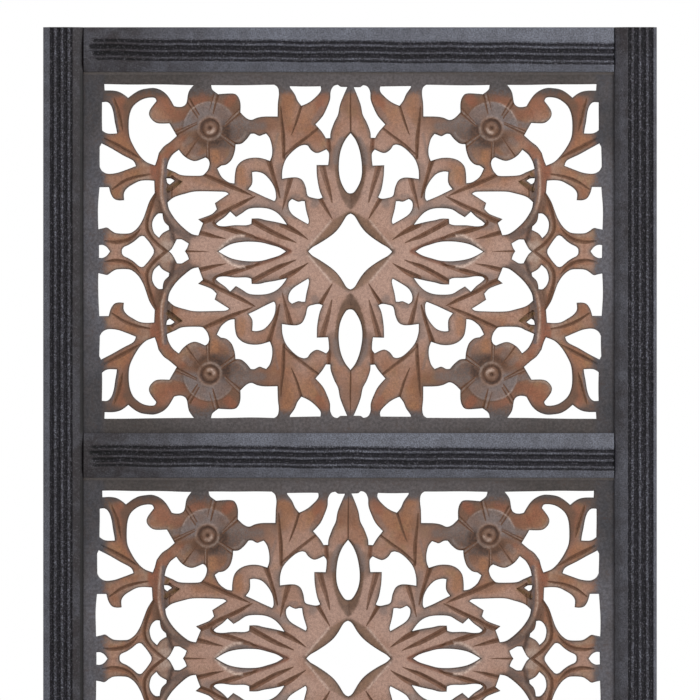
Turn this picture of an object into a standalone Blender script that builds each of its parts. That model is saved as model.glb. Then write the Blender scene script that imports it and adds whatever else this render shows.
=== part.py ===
"""Carved wall panel: two pierced and carved boards in a dark fluted frame of two stiles and three rails.

Metres, +Z up. The front faces -Y and the flat back lies in the plane Y = 0, which goes against the wall.
The origin is the centre of the middle rail's back. The carved pattern of a board is one quarter, mirrored
left to right and top to bottom. It is drawn in units of its own and fitted inside the board's borders.
"""

import math

import bmesh
import bpy

# Driving dimensions of the frame, in metres.
PANEL_WIDTH = 0.508
STILE_WIDTH = 0.032
RAIL_HEIGHT = 0.037
BAY_HEIGHT = 0.299
FRAME_THICKNESS = 0.025
EDGE_DROP = 0.003
FLUTE_COUNT = 4
FLUTE_PITCH = 0.00535
FLUTE_WIDTH = 0.0036
FLUTE_DEPTH = 0.0022
STILE_OUTER_STRIP = 0.0056
RAIL_UPPER_STRIP = 0.0096

# Joinery: every board edge and every stub tenon sits in the same groove.
GROOVE_DEPTH = 0.008
TENON_SHOULDER = 0.001
FIT_GAP = 0.0003

# The carved boards.
BOARD_THICKNESS = 0.012
BOARD_BACK = 0.0065
SIDE_BORDER = 0.0128
END_BORDER = 0.0111
RING_RISE = 0.0013
BOSS_RISE = 0.0018
BOSS_SINK = 0.0018
BOSS_RADIUS = 0.0046
MOAT_RADIUS = 0.0064
RING_RADIUS = 0.0088
RING_FOOT = 0.011
SPLIT_START = 0.0125
SPLIT_NEAR_WIDTH = 0.0012
SPLIT_FAR_WIDTH = 0.0042

# Places worked out from the sizes above.
PITCH = BAY_HEIGHT + RAIL_HEIGHT
PANEL_HEIGHT = 2 * PITCH + RAIL_HEIGHT
HALF_INSIDE = PANEL_WIDTH / 2 - STILE_WIDTH
BOARD_FRONT = BOARD_BACK + BOARD_THICKNESS
RAIL_LEVELS = {"top": PITCH, "middle": 0.0, "bottom": -PITCH}
BAY_LEVELS = {"upper": PITCH / 2, "lower": -PITCH / 2}

# Fineness of the model. The first is the widest gap from a curve of an outline to its chord.
CHORD_ERROR = 0.0019
SMOOTH_STEPS = 6
FLOWER_SIDES = 8
GOUGE_LIFT = 0.0001
WELD_DISTANCE = 2e-6
MIRROR_MERGE = 1e-5
FLAT_ANGLE = math.radians(0.5)

# The pattern of one quarter, drawn in units from the board's centre: across, then up.
# Openings sawn through it. Each is a closed run of strokes, and a stroke is a smooth curve through
# its points to the first point of the next stroke, where the saw turned a sharp corner.
SAWN = {
    "over_scroll": [
        [(129.8, 137.6), (133.8, 131.6), (135.6, 122.8), (138.5, 119.8), (142.5, 119.3)],
        [(146, 120), (151, 128), (156, 132.4), (162, 134.7), (168, 134.6), (174, 133.5), (179, 130.8)],
        [(184, 126.8), (187.5, 129.6), (191.5, 131.8), (196.5, 132.8)],
        [(203.6, 132.8)],
        [(203.8, 138.4)],
    ],
    "corner": [
        [(206, 123.3), (201.5, 123.4), (198.3, 120.5), (196.3, 115), (195, 107), (193.8, 101)],
        [(193.3, 97.3), (199.5, 97.1), (203, 98)],
        [(205.8, 100)],
    ],
    "scroll_eye": [
        [(160.7, 124), (162.3, 126.8), (168, 127), (174, 125), (180, 120), (183, 113), (183.8, 104),
         (183, 94.5), (179.5, 86.5), (174.5, 79), (169, 73.8)],
        [(162, 70.9), (160.2, 75.5)],
        [(158.6, 81.3), (154.5, 86.8), (149.5, 90.5)],
        [(143.8, 95.4)],
        [(150, 106.1), (159.5, 106), (164, 108.3), (166.7, 112.5), (165.8, 117.2)],
    ],
    "between_leaves": [
        [(207.9, 70), (205.8, 66.4), (201, 64.1), (193.5, 64.7), (186, 67.2)],
        [(177.6, 70.5), (180, 75), (189, 79.8), (198, 85)],
        [(206.4, 89.3)],
        [(207.9, 86.5)],
    ],
    "side_window": [
        [(208.2, 53.3)],
        [(200.3, 53.3), (198.6, 47.5), (195.8, 43.3), (192, 42)],
        [(187.7, 42.2), (187.9, 48), (185, 52.3), (180, 55.6), (174.5, 58.3), (168.5, 59)],
        [(162.6, 58.6)],
        [(162, 48.5), (166.3, 41.5), (169.3, 33.5), (171.8, 27), (175.5, 20.8), (179.5, 16.9), (184, 14.9),
         (193.5, 15), (197.8, 17), (201.5, 19.6), (205, 19)],
        [(208.9, 18.2), (209.2, 36)],
    ],
    "beside_bead": [
        [(155.7, 31.2), (159.3, 31.2), (162.8, 27.8), (164.5, 22.5), (163, 15.6)],
        [(158.7, 11), (155.6, 14.8)],
        [(150.2, 17.8)],
        [(150.6, 20.6), (154, 24), (155.3, 27.5)],
    ],
    "under_flower": [
        [(120.3, 77.8), (118, 76.2), (116.8, 72.5), (118.3, 67.2)],
        [(121.2, 63.6), (124.5, 62.4), (139, 62.6), (145.5, 65.2)],
        [(152.3, 68.2), (150.8, 74), (147.3, 80)],
        [(142.2, 84.2), (138.3, 79.3), (133, 75.8), (128, 74.9)],
    ],
    "leaf_socket": [[(146, 58.3), (149, 60.2)], [(152.8, 60.4), (152, 57)], [(149.8, 55.5)]],
    "barbed_window": [
        [(100.8, 47.4), (103, 49), (110, 49.5), (128, 49.5), (136.5, 47.9), (146, 45)],
        [(151.4, 40.6), (150, 34.3), (145, 26.3), (138.5, 19.7), (131.5, 14.6)],
        [(126, 13.3), (124.3, 18)],
        [(122.2, 23.4)],
        [(126.2, 26.6), (119.5, 29), (114.5, 31.3)],
        [(110.9, 34.9)],
        [(112.4, 39.8), (106.5, 43.7)],
    ],
    "long_slit": [
        [(52.7, 22.2), (56.5, 27.5), (61.5, 32.2), (68, 35), (76, 35.7), (84, 34.9), (90, 31.4)],
        [(94.9, 28.6)],
        [(99.8, 33.1), (104, 29), (109, 25.4)],
        [(111.4, 23.2), (109.5, 21.4), (104, 20.8), (96, 21.7), (86, 21.7)],
        [(82, 22.9)],
        [(81.7, 27), (75.5, 27), (70, 25.7), (62, 24.3)],
    ],
    "beside_flower": [
        [(63.2, 137.6)],
        [(115.6, 137.6), (114.4, 133.6)],
        [(109.6, 129.8), (97, 130.4), (93, 127.8), (91.2, 122.5)],
        [(91.2, 114.8), (86.5, 110.3), (82, 108.6), (77, 110.6), (71, 111.6)],
        [(60.4, 111.6), (60.2, 122), (59.4, 130), (60.4, 135.3)],
    ],
    "leaf_fork": [
        [(24.9, 136.6)],
        [(50.2, 136.6), (50.1, 135.4), (46.2, 129.8), (43.8, 124.3)],
        [(40.6, 120.1), (36.3, 121.9), (31.5, 125), (26, 130.4), (24.4, 133.8)],
    ],
    "beside_blade": [
        [(2.7, 135.8), (8.5, 136), (10.5, 137.6), (14.3, 136.4), (16.5, 132), (16.9, 125.5), (19.5, 118.5),
         (23, 111.7)],
        [(28.9, 105), (23.5, 98.7)],
        [(20.3, 93.5)],
        [(16.7, 93.6), (16.3, 98.5), (13.5, 106.5), (10.3, 113), (8.3, 122)],
    ],
    "over_hook": [
        [(69.8, 97.1), (72.5, 96.1), (75.5, 95.2), (79.5, 97.1)],
        [(82.6, 97), (86, 92.8), (90.5, 89.3)],
        [(95.2, 88.8), (95.9, 83), (98.3, 76.3), (102.5, 72.1)],
        [(107.2, 71)],
        [(110.5, 68.6), (106.8, 61.7), (101, 57.2)],
        [(96.1, 56.1), (95.6, 64), (94, 70.2), (89.5, 74.8), (83, 77.1), (75, 77.1)],
        [(66.8, 74.7), (65.1, 79.5), (65, 86), (66.8, 93)],
    ],
    "hook_eye": [
        [(81.4, 65.4), (77.5, 65.8), (71.5, 63.9), (66, 58.2), (62.6, 51.5), (61.9, 44.5)],
        [(63.2, 41.6), (71, 44.9), (78.5, 48.5)],
        [(84.7, 51.4), (81.3, 56.7)],
    ],
    "wing": [
        [(18.6, 71)],
        [(28, 71.1), (27.6, 61.5), (25.8, 51)],
        [(23.2, 44.6), (26, 43.4), (30.5, 44), (35.3, 46), (37, 53), (39.5, 58.4), (43.5, 60.8), (49, 61)],
        [(56.6, 60), (56.3, 67.5), (53.8, 75.5), (49, 81.7), (43, 86.7), (38, 88.3)],
        [(35.3, 87.4), (32.5, 83.6), (27.5, 81.3)],
        [(20.2, 84.3), (18, 81.4), (18, 76)],
    ],
    "under_bulge": [
        [(37.8, 41.5), (40.5, 41.6), (43.3, 41.1)],
        [(48.4, 43.4), (51, 41), (51.4, 37), (49.8, 32.8), (46, 29)],
        [(35.2, 22.6), (34.4, 25.5), (36.7, 34.5)],
    ],
}

# Openings that lie across the board's level centre line: the half above it, from line to line.
ACROSS_LEVEL = {
    "side_lens": [
        [(53.8, 0), (59, 3.2), (66, 5.5), (74, 7.6), (82, 8.1), (90, 7.6), (98, 6), (104, 3.4)],
        [(109.6, 0)],
    ],
    "star_window": [
        [(136.9, 0), (135, 2.8)],
        [(133.7, 6.4), (137.2, 8.5), (140, 9.9)],
        [(143.8, 9.8), (146.2, 5.2), (148.2, 2)],
        [(150.4, 0)],
    ],
    "side_diamond": [
        [(163, 0), (163.3, 2), (167, 7.6)],
        [(171, 12.3), (173, 12.9)],
        [(175.2, 12), (179.5, 8.2), (183.5, 5.6), (187.6, 3.7), (189.2, 1.6)],
        [(189.3, 0)],
    ],
    "side_slot": [[(199.2, 0), (202, 3.6), (205.5, 5.4)], [(208.7, 5.2)], [(208.7, 0)]],
}
# The same across the upright centre line: the half beside it, from the top down.
ACROSS_UPRIGHT = {
    "top_lens": [
        [(0, 97.6), (4.4, 91.8), (7.7, 84), (9.4, 75), (9.6, 66), (8.3, 58.7), (5.5, 52.5), (2.5, 48.6)],
        [(0, 48)],
    ],
    "star": [
        [(0, 31.3), (3.3, 29.3), (8, 21.8), (12.5, 16.2), (18.5, 11.2), (25.5, 6.6), (31.5, 3.2)],
        [(34.8, 0)],
    ],
}

# Cuts of the V gouge in one quarter: points with the width of the cut there, all in the same units.
VEINS = {
    "star_ray": [(35, 9, 0), (54.6, 22, 3.4)],
    "blade_ray": [(45, 6.6, 0), (83, 25.8, 3.4)],
    "lens_rim": [(50, 0.6, 1), (60, 5.8, 3), (80, 12.6, 3), (111.4, 20.8, 2.6)],
    "tip_ray": [(103, 10, 0), (125.5, 15.8, 3.4)],
    "star_rib": [(15.6, 27.4, 0), (26, 43.6, 3)],
    "blade_rib": [(15.8, 40.8, 0), (25.2, 72.5, 3.4)],
    "bulge_rib": [(57, 34.5, 0), (49.4, 61.6, 3.4)],
    "hook_rib": [(59, 45, 0), (68.6, 76.8, 3.4)],
    "long_leaf_upper": [(82.5, 46.4, 0), (112, 59.5, 3), (122, 64.2, 2)],
    "long_leaf_lower": [(79.5, 44.6, 0), (99, 35.4, 3.2), (124.6, 23.4, 3)],
    "tip_split": [(120, 0, 0), (138.2, 0, 2.4)],
    "trumpet_rib": [(166, 64.6, 0), (183, 60, 2.2), (199.6, 49.4, 2.4)],
    "outer_arc": [(164.8, 43, 0.6), (169.4, 26, 3.4), (167.4, 11.6, 3.4), (153, -0.4, 2.4)],
    "bracket": [(173.5, 17.5, 0), (184, 8.8, 3), (206, 8.8, 0)],
    "fork_midrib": [(40.5, 121, 2), (49.6, 96, 0)],
    "under_fork": [(27.4, 102.2, 2), (42, 90.4, 2.4), (55.4, 78.8, 0)],
    "blade_split": [(0, 134, 0), (0, 119, 2.2), (0, 104, 0)],
}

# The flower of one quarter has a boss, a ring around it, and cuts that part the petals. Its centre is
# in the pattern's units. Each cut has its bearing in degrees at the ring and at the petals' ends, and
# its reach from the centre in the pattern's units.
FLOWER = {
    "centre": [(116.5, 101.5)],
    "splits": [
        (104, 101, 29.5), (47, 50, 28), (11, -9, 28.5), (-35, -49, 30.5), (-90, -88, 25), (-150, -148, 25.5),
        (168, 153, 29),
    ],
}

# The pattern's farthest points across and up stand on the borders, which gives its unit in metres.
DRAWN = [point for strokes in SAWN.values() for stroke in strokes for point in stroke]
UNIT_X = (HALF_INSIDE - SIDE_BORDER) / max(across for across, up in DRAWN)
UNIT_Z = (BAY_HEIGHT / 2 - END_BORDER) / max(up for across, up in DRAWN)


def clear_scene():
    for existing in list(bpy.data.objects):
        bpy.data.objects.remove(existing, do_unlink=True)


def new_collection(name):
    collection = bpy.data.collections.new(name)
    bpy.context.scene.collection.children.link(collection)
    return collection


def stained_wood(name, colour, roughness):
    """A Principled material in one of the object's two stains."""
    material = bpy.data.materials.new(name)
    material.use_nodes = True
    shader = material.node_tree.nodes["Principled BSDF"]
    shader.inputs["Base Color"].default_value = (*colour, 1.0)
    shader.inputs["Roughness"].default_value = roughness
    shader.inputs["Metallic"].default_value = 0.0
    return material


def flat_curve(name, outlines, half_depth):
    """A filled 2D curve with one closed straight-sided spline for each outline."""
    curve = bpy.data.curves.new(name, "CURVE")
    curve.dimensions = "2D"
    curve.fill_mode = "BOTH"
    curve.extrude = half_depth
    for outline in outlines:
        spline = curve.splines.new("POLY")
        spline.points.add(len(outline) - 1)
        for point, (x, y) in zip(spline.points, outline):
            point.co = (x, y, 0, 1)
        spline.use_cyclic_u = True
    return bpy.data.objects.new(name, curve)


def gouge_curve(name, cuts):
    """Four-sided tubes along the cuts: the lower half of each is a V as deep as half its width."""
    curve = bpy.data.curves.new(name, "CURVE")
    curve.dimensions = "2D"
    curve.fill_mode = "NONE"
    curve.bevel_depth = 1.0
    curve.bevel_resolution = 0
    curve.use_fill_caps = True
    for cut in cuts:
        spline = curve.splines.new("POLY")
        spline.points.add(len(cut) - 1)
        for point, (x, y, width) in zip(spline.points, cut):
            point.co = (x, y, 0, 1)
            point.radius = width / 2
    return bpy.data.objects.new(name, curve)


def as_mesh(obj, collection):
    """The object's evaluated shape as a mesh object of the same name, with its caps welded on."""
    bpy.context.scene.collection.objects.link(obj)
    bpy.context.view_layer.update()
    graph = bpy.context.evaluated_depsgraph_get()
    mesh = bpy.data.meshes.new_from_object(obj.evaluated_get(graph))
    welded = bmesh.new()
    welded.from_mesh(mesh)
    bmesh.ops.remove_doubles(welded, verts=welded.verts, dist=WELD_DISTANCE)
    bmesh.ops.dissolve_degenerate(welded, edges=welded.edges, dist=WELD_DISTANCE)
    bmesh.ops.recalc_face_normals(welded, faces=welded.faces)
    welded.to_mesh(mesh)
    welded.free()
    name, place = obj.name, obj.matrix_world.copy()
    bpy.data.objects.remove(obj, do_unlink=True)
    made = bpy.data.objects.new(name, mesh)
    made.matrix_world = place
    collection.objects.link(made)
    return made


def cutter_settings(obj):
    obj.hide_render = True
    obj.display_type = "WIRE"


def add_boolean(obj, other, operation):
    modifier = obj.modifiers.new(other.name, "BOOLEAN")
    modifier.operation = operation
    modifier.solver = "EXACT"
    modifier.use_self = True
    modifier.object = other
    return modifier


def along_curve(a, b, c, d, t):
    """A Catmull-Rom curve's value a share t of the way from b to c, with a before b and d after c."""
    bend = (c - a) * t + (2 * a - 5 * b + 4 * c - d) * t**2 + (3 * b - a - 3 * c + d) * t**3
    return b + bend / 2


def curve_through(points):
    """Points along a smooth curve through the given ones, ends included."""
    padded = [points[0], *points, points[-1]]
    found = [points[0]]
    for four in zip(padded, padded[1:], padded[2:], padded[3:]):
        for step in range(1, SMOOTH_STEPS + 1):
            share = step / SMOOTH_STEPS
            found.append(tuple(along_curve(*values, share) for values in zip(*four)))
    return found


def thinned(points, error):
    """The fewest of the points that stay within the error of them all, ends included."""
    (x0, y0), (x1, y1) = points[0], points[-1]
    length = math.hypot(x1 - x0, y1 - y0) or 1.0
    off = [abs((x1 - x0) * (y - y0) - (y1 - y0) * (x - x0)) / length for x, y in points]
    worst = max(range(len(points)), key=off.__getitem__)
    if off[worst] <= error:
        return [points[0], points[-1]]
    return thinned(points[: worst + 1], error)[:-1] + thinned(points[worst:], error)


def flattened(strokes):
    """The strokes as few straight lines, in metres. Each stroke runs on to the next one's first point."""
    found = []
    for stroke, following in zip(strokes, strokes[1:]):
        run = to_board([*stroke, following[0]])
        found += thinned(curve_through(run), CHORD_ERROR)[:-1] if len(run) > 2 else run[:-1]
    return found + to_board(strokes[-1][:1])


def closed(strokes):
    """A closed outline in metres, without its first point again at its end."""
    return flattened([*strokes, strokes[0][:1]])[:-1]


def to_board(points):
    """The pattern's units to metres on the board. A third number is a width."""
    return [(p[0] * UNIT_X, p[1] * UNIT_Z, *(width * UNIT_X for width in p[2:])) for p in points]


def petal_cuts():
    """The V cuts between the petals, in metres."""
    [(centre_x, centre_y)] = to_board(FLOWER["centre"])
    cuts = []
    for near_bearing, far_bearing, reach in FLOWER["splits"]:
        near, far = math.radians(near_bearing), math.radians(far_bearing)
        start = (centre_x + SPLIT_START * math.cos(near), centre_y + SPLIT_START * math.sin(near))
        end = (centre_x + reach * UNIT_X * math.cos(far), centre_y + reach * UNIT_X * math.sin(far))
        cuts.append([(*start, SPLIT_NEAR_WIDTH), (*end, SPLIT_FAR_WIDTH)])
    return cuts


def moulding_face(width, first_strip):
    """Front line of a moulding, from its first edge to its last: strip, flutes, strip."""
    crest = -FRAME_THICKNESS
    edge = crest + EDGE_DROP
    face = [(0.0, edge)]
    for number in range(FLUTE_COUNT):
        start = first_strip + number * FLUTE_PITCH
        face.append((start, crest))
        face.append((start + FLUTE_WIDTH / 2, crest + FLUTE_DEPTH))
        face.append((start + FLUTE_WIDTH, crest))
    face.append((width, edge))
    return face


def grooved_edge(position, inward):
    """One edge of a member from front to back, with the groove for the boards and the tenons."""
    bottom = position + inward * GROOVE_DEPTH
    near, far = -(BOARD_FRONT + FIT_GAP), -(BOARD_BACK - FIT_GAP)
    return [(position, near), (bottom, near), (bottom, far), (position, far)]


def make_stile(name, side, collection, material):
    """A full-height upright. side is -1 for the left one and 1 for the right one."""
    profile = moulding_face(STILE_WIDTH, STILE_OUTER_STRIP)
    profile += grooved_edge(STILE_WIDTH, -1)
    profile += [(STILE_WIDTH, 0.0), (0.0, 0.0)]
    outer = PANEL_WIDTH / 2
    placed = [(side * (outer - across), depth) for across, depth in profile]
    stile = flat_curve(name, [placed], PANEL_HEIGHT / 2)
    stile = as_mesh(stile, collection)
    stile.data.materials.append(material)
    return stile


def make_rail(name, level, groove_above, groove_below, collection, cutters, material):
    """A cross member with a stub tenon at each end. Its profile runs from the upper edge down."""
    profile = moulding_face(RAIL_HEIGHT, RAIL_UPPER_STRIP)
    if groove_below:
        profile += grooved_edge(RAIL_HEIGHT, -1)
    profile += [(RAIL_HEIGHT, 0.0), (0.0, 0.0)]
    if groove_above:
        profile += grooved_edge(0.0, 1)[::-1]
    placed = [(RAIL_HEIGHT / 2 - down, depth) for down, depth in profile]
    turn = (0, math.radians(-90), 0)
    rail = flat_curve(name, [placed], HALF_INSIDE - FIT_GAP)
    rail.location = (0, 0, level)
    rail.rotation_euler = turn
    rail = as_mesh(rail, collection)
    rail.data.materials.append(material)

    top = RAIL_HEIGHT / 2 - TENON_SHOULDER - (GROOVE_DEPTH if groove_above else 0)
    low = -RAIL_HEIGHT / 2 + TENON_SHOULDER + (GROOVE_DEPTH if groove_below else 0)
    core = [(top, -BOARD_FRONT), (low, -BOARD_FRONT), (low, -BOARD_BACK), (top, -BOARD_BACK)]
    tenon = flat_curve(name + "_tenons", [core], HALF_INSIDE + GROOVE_DEPTH - FIT_GAP)
    tenon.location = rail.location
    tenon.rotation_euler = turn
    tenon = as_mesh(tenon, cutters)
    cutter_settings(tenon)
    add_boolean(rail, tenon, "UNION")
    return rail


def make_flower_boss(cutters):
    """The boss in the flower's middle and the ring around it, turned about the front direction."""
    profile = [
        (0.0, BOSS_RISE),
        (BOSS_RADIUS, RING_RISE),
        (MOAT_RADIUS, GOUGE_LIFT),
        (RING_RADIUS, RING_RISE),
        (RING_FOOT, -BOSS_SINK),
        (0.0, -BOSS_SINK),
    ]
    shape = bmesh.new()
    rim = [shape.verts.new((radius, 0, height)) for radius, height in profile]
    edges = [shape.edges.new(pair) for pair in zip(rim, rim[1:])]
    turned = {"axis": (0, 0, 1), "cent": (0, 0, 0), "steps": FLOWER_SIDES, "angle": math.tau}
    bmesh.ops.spin(shape, geom=rim + edges, **turned)
    bmesh.ops.remove_doubles(shape, verts=shape.verts, dist=WELD_DISTANCE)
    bmesh.ops.recalc_face_normals(shape, faces=shape.faces)
    mesh = bpy.data.meshes.new("flower_boss")
    shape.to_mesh(mesh)
    shape.free()
    boss = bpy.data.objects.new("flower_boss", mesh)
    [(centre_x, centre_y)] = to_board(FLOWER["centre"])
    boss.location = (centre_x, centre_y, BOARD_THICKNESS / 2)
    cutters.objects.link(boss)
    cutter_settings(boss)
    return boss


def make_gouges(name, cuts, cutters):
    """The V gouge's cuts as one cutter, whose widest line stays just above the surface."""
    gouges = gouge_curve(name, cuts)
    gouges.location = (0, 0, BOARD_THICKNESS / 2 + GOUGE_LIFT)
    gouges = as_mesh(gouges, cutters)
    cutter_settings(gouges)
    return gouges


def make_quarter(cutters):
    """One quarter of a board, lying flat with its front up and open along both centre lines."""
    half_wide = HALF_INSIDE + GROOVE_DEPTH - FIT_GAP
    half_high = BAY_HEIGHT / 2 + GROOVE_DEPTH - FIT_GAP
    level_side = [point for strokes in ACROSS_LEVEL.values() for point in flattened(strokes)]
    upright_side = [point for strokes in ACROSS_UPRIGHT.values() for point in flattened(strokes)]
    edge = [*level_side, (half_wide, 0), (half_wide, half_high), (0, half_high), *upright_side]
    openings = [closed(strokes) for strokes in SAWN.values()]
    quarter = as_mesh(flat_curve("board_quarter", [edge, *openings], BOARD_THICKNESS / 2), cutters)
    cutter_settings(quarter)

    add_boolean(quarter, make_flower_boss(cutters), "UNION")
    veins = [to_board(cut) for cut in VEINS.values()]
    add_boolean(quarter, make_gouges("veins", veins, cutters), "DIFFERENCE")
    add_boolean(quarter, make_gouges("petal_splits", petal_cuts(), cutters), "DIFFERENCE")

    graph = bpy.context.evaluated_depsgraph_get()
    carved = bmesh.new()
    carved.from_object(quarter, graph)
    bmesh.ops.remove_doubles(carved, verts=carved.verts, dist=WELD_DISTANCE)
    on_a_centre_line = [
        face
        for face in carved.faces
        if any(all(abs(vert.co[axis]) < WELD_DISTANCE for vert in face.verts) for axis in (0, 1))
    ]
    bmesh.ops.delete(carved, geom=on_a_centre_line, context="FACES")
    bmesh.ops.dissolve_limit(carved, angle_limit=FLAT_ANGLE, verts=carved.verts, edges=carved.edges)
    bmesh.ops.triangulate(carved, faces=carved.faces)
    mesh = bpy.data.meshes.new("carved_quarter")
    carved.to_mesh(mesh)
    carved.free()
    return mesh


def make_boards(collection, cutters, material):
    """Both carved boards: the same quarter, mirrored both ways and stood up in each bay."""
    mesh = make_quarter(cutters)
    mesh.materials.append(material)
    for bay, level in BAY_LEVELS.items():
        board = bpy.data.objects.new("carved_board_" + bay, mesh)
        board.location = (0, -(BOARD_BACK + BOARD_THICKNESS / 2), level)
        board.rotation_euler = (math.radians(90), 0, 0)
        collection.objects.link(board)
        mirror = board.modifiers.new("quarters", "MIRROR")
        mirror.use_axis = (True, True, False)
        mirror.merge_threshold = MIRROR_MERGE


def main():
    clear_scene()
    panel = new_collection("carved_wall_panel")
    cutters = new_collection("cutters")
    black = stained_wood("black_stain", (0.045, 0.047, 0.055), 0.6)
    brown = stained_wood("brown_stain", (0.30, 0.15, 0.09), 0.6)
    make_stile("stile_left", -1, panel, black)
    make_stile("stile_right", 1, panel, black)
    for place, level in RAIL_LEVELS.items():
        make_rail("rail_" + place, level, place != "top", place != "bottom", panel, cutters, black)
    make_boards(panel, cutters, brown)


main()
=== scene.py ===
# %% [markdown]
# # A carved wall panel in a dark fluted frame
#
# The panel is joiner's work: two stiles and three rails, stained black and run with flutes, hold two
# pierced boards of brown wood. Each board is carved with one flower, its leaves and its stems, turned
# over into all four quarters. The measured solids come first. They fix every size and place, and the
# pieces made here lie on them with the finer carving and the finish.

# %% Load the measured solids
import math

import bmesh
import bpy
import numpy as np
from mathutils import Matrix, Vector
from mathutils.geometry import delaunay_2d_cdt, tessellate_polygon
from mathutils.kdtree import KDTree


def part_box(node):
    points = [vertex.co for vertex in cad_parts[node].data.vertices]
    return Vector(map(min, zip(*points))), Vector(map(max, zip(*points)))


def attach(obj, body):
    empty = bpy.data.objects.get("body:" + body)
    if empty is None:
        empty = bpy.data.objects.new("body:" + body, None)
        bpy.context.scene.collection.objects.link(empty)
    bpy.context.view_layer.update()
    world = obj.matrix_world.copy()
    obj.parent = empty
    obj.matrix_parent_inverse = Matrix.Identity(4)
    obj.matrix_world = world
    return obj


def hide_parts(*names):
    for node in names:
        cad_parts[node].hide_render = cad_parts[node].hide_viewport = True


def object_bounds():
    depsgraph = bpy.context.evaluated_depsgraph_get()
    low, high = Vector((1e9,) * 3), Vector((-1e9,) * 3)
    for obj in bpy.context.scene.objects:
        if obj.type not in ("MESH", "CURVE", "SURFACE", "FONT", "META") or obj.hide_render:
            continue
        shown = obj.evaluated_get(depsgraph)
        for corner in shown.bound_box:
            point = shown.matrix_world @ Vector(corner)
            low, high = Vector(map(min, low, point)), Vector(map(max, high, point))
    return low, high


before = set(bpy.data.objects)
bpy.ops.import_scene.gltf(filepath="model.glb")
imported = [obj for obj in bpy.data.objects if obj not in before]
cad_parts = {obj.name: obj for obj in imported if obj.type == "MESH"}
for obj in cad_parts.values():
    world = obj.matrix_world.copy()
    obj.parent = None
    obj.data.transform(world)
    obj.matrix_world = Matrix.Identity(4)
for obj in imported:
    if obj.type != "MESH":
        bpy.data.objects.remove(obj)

cad_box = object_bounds()
print("solids:", ", ".join(sorted(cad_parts)))
print("size in mm:", [round((high - low) * 1000, 1) for low, high in zip(*cad_box)])

# %% [markdown]
# ## The point of view
#
# The picture was taken square on and from far off: both sides of the frame stay parallel, and no inner
# wall of the piercing shows. A long lens from eight metres away gives that. The picture is as wide as
# 579 mm of the panel, and it cuts the panel off below the middle of the lower board.

# %% Stand the camera
PICTURE_WIDTH = 0.5792
PICTURE_CENTRE = 0.0873
LENS = 500.0
SENSOR = 36.0
FARTHEST_SEEN = 100
front_plane = cad_box[0].y


def shown(name, data):
    """A new object in the scene that shows the data."""
    made = bpy.data.objects.new(name, data)
    bpy.context.scene.collection.objects.link(made)
    return made


camera_data = bpy.data.cameras.new("camera")
camera_data.lens = LENS
camera_data.sensor_width = SENSOR
camera_data.clip_end = FARTHEST_SEEN
camera = shown("camera", camera_data)
camera.location = (0, front_plane - PICTURE_WIDTH * LENS / SENSOR, PICTURE_CENTRE)
camera.rotation_euler = (math.radians(90), 0, 0)
bpy.context.scene.camera = camera
print("camera stands", round(-camera.location.y, 3), "m in front of the wall")

# %% [markdown]
# ## The drawing of one quarter
#
# A carver draws one quarter, flips the paper and saws the openings first. The drawing is in
# millimetres from the board's centre, across and then up. An opening is a closed run of strokes. A
# stroke is a smooth curve through its points to the first point of the next stroke, where the saw
# turned a sharp corner. Curves through a few points keep the drawing short and easy to change.

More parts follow.
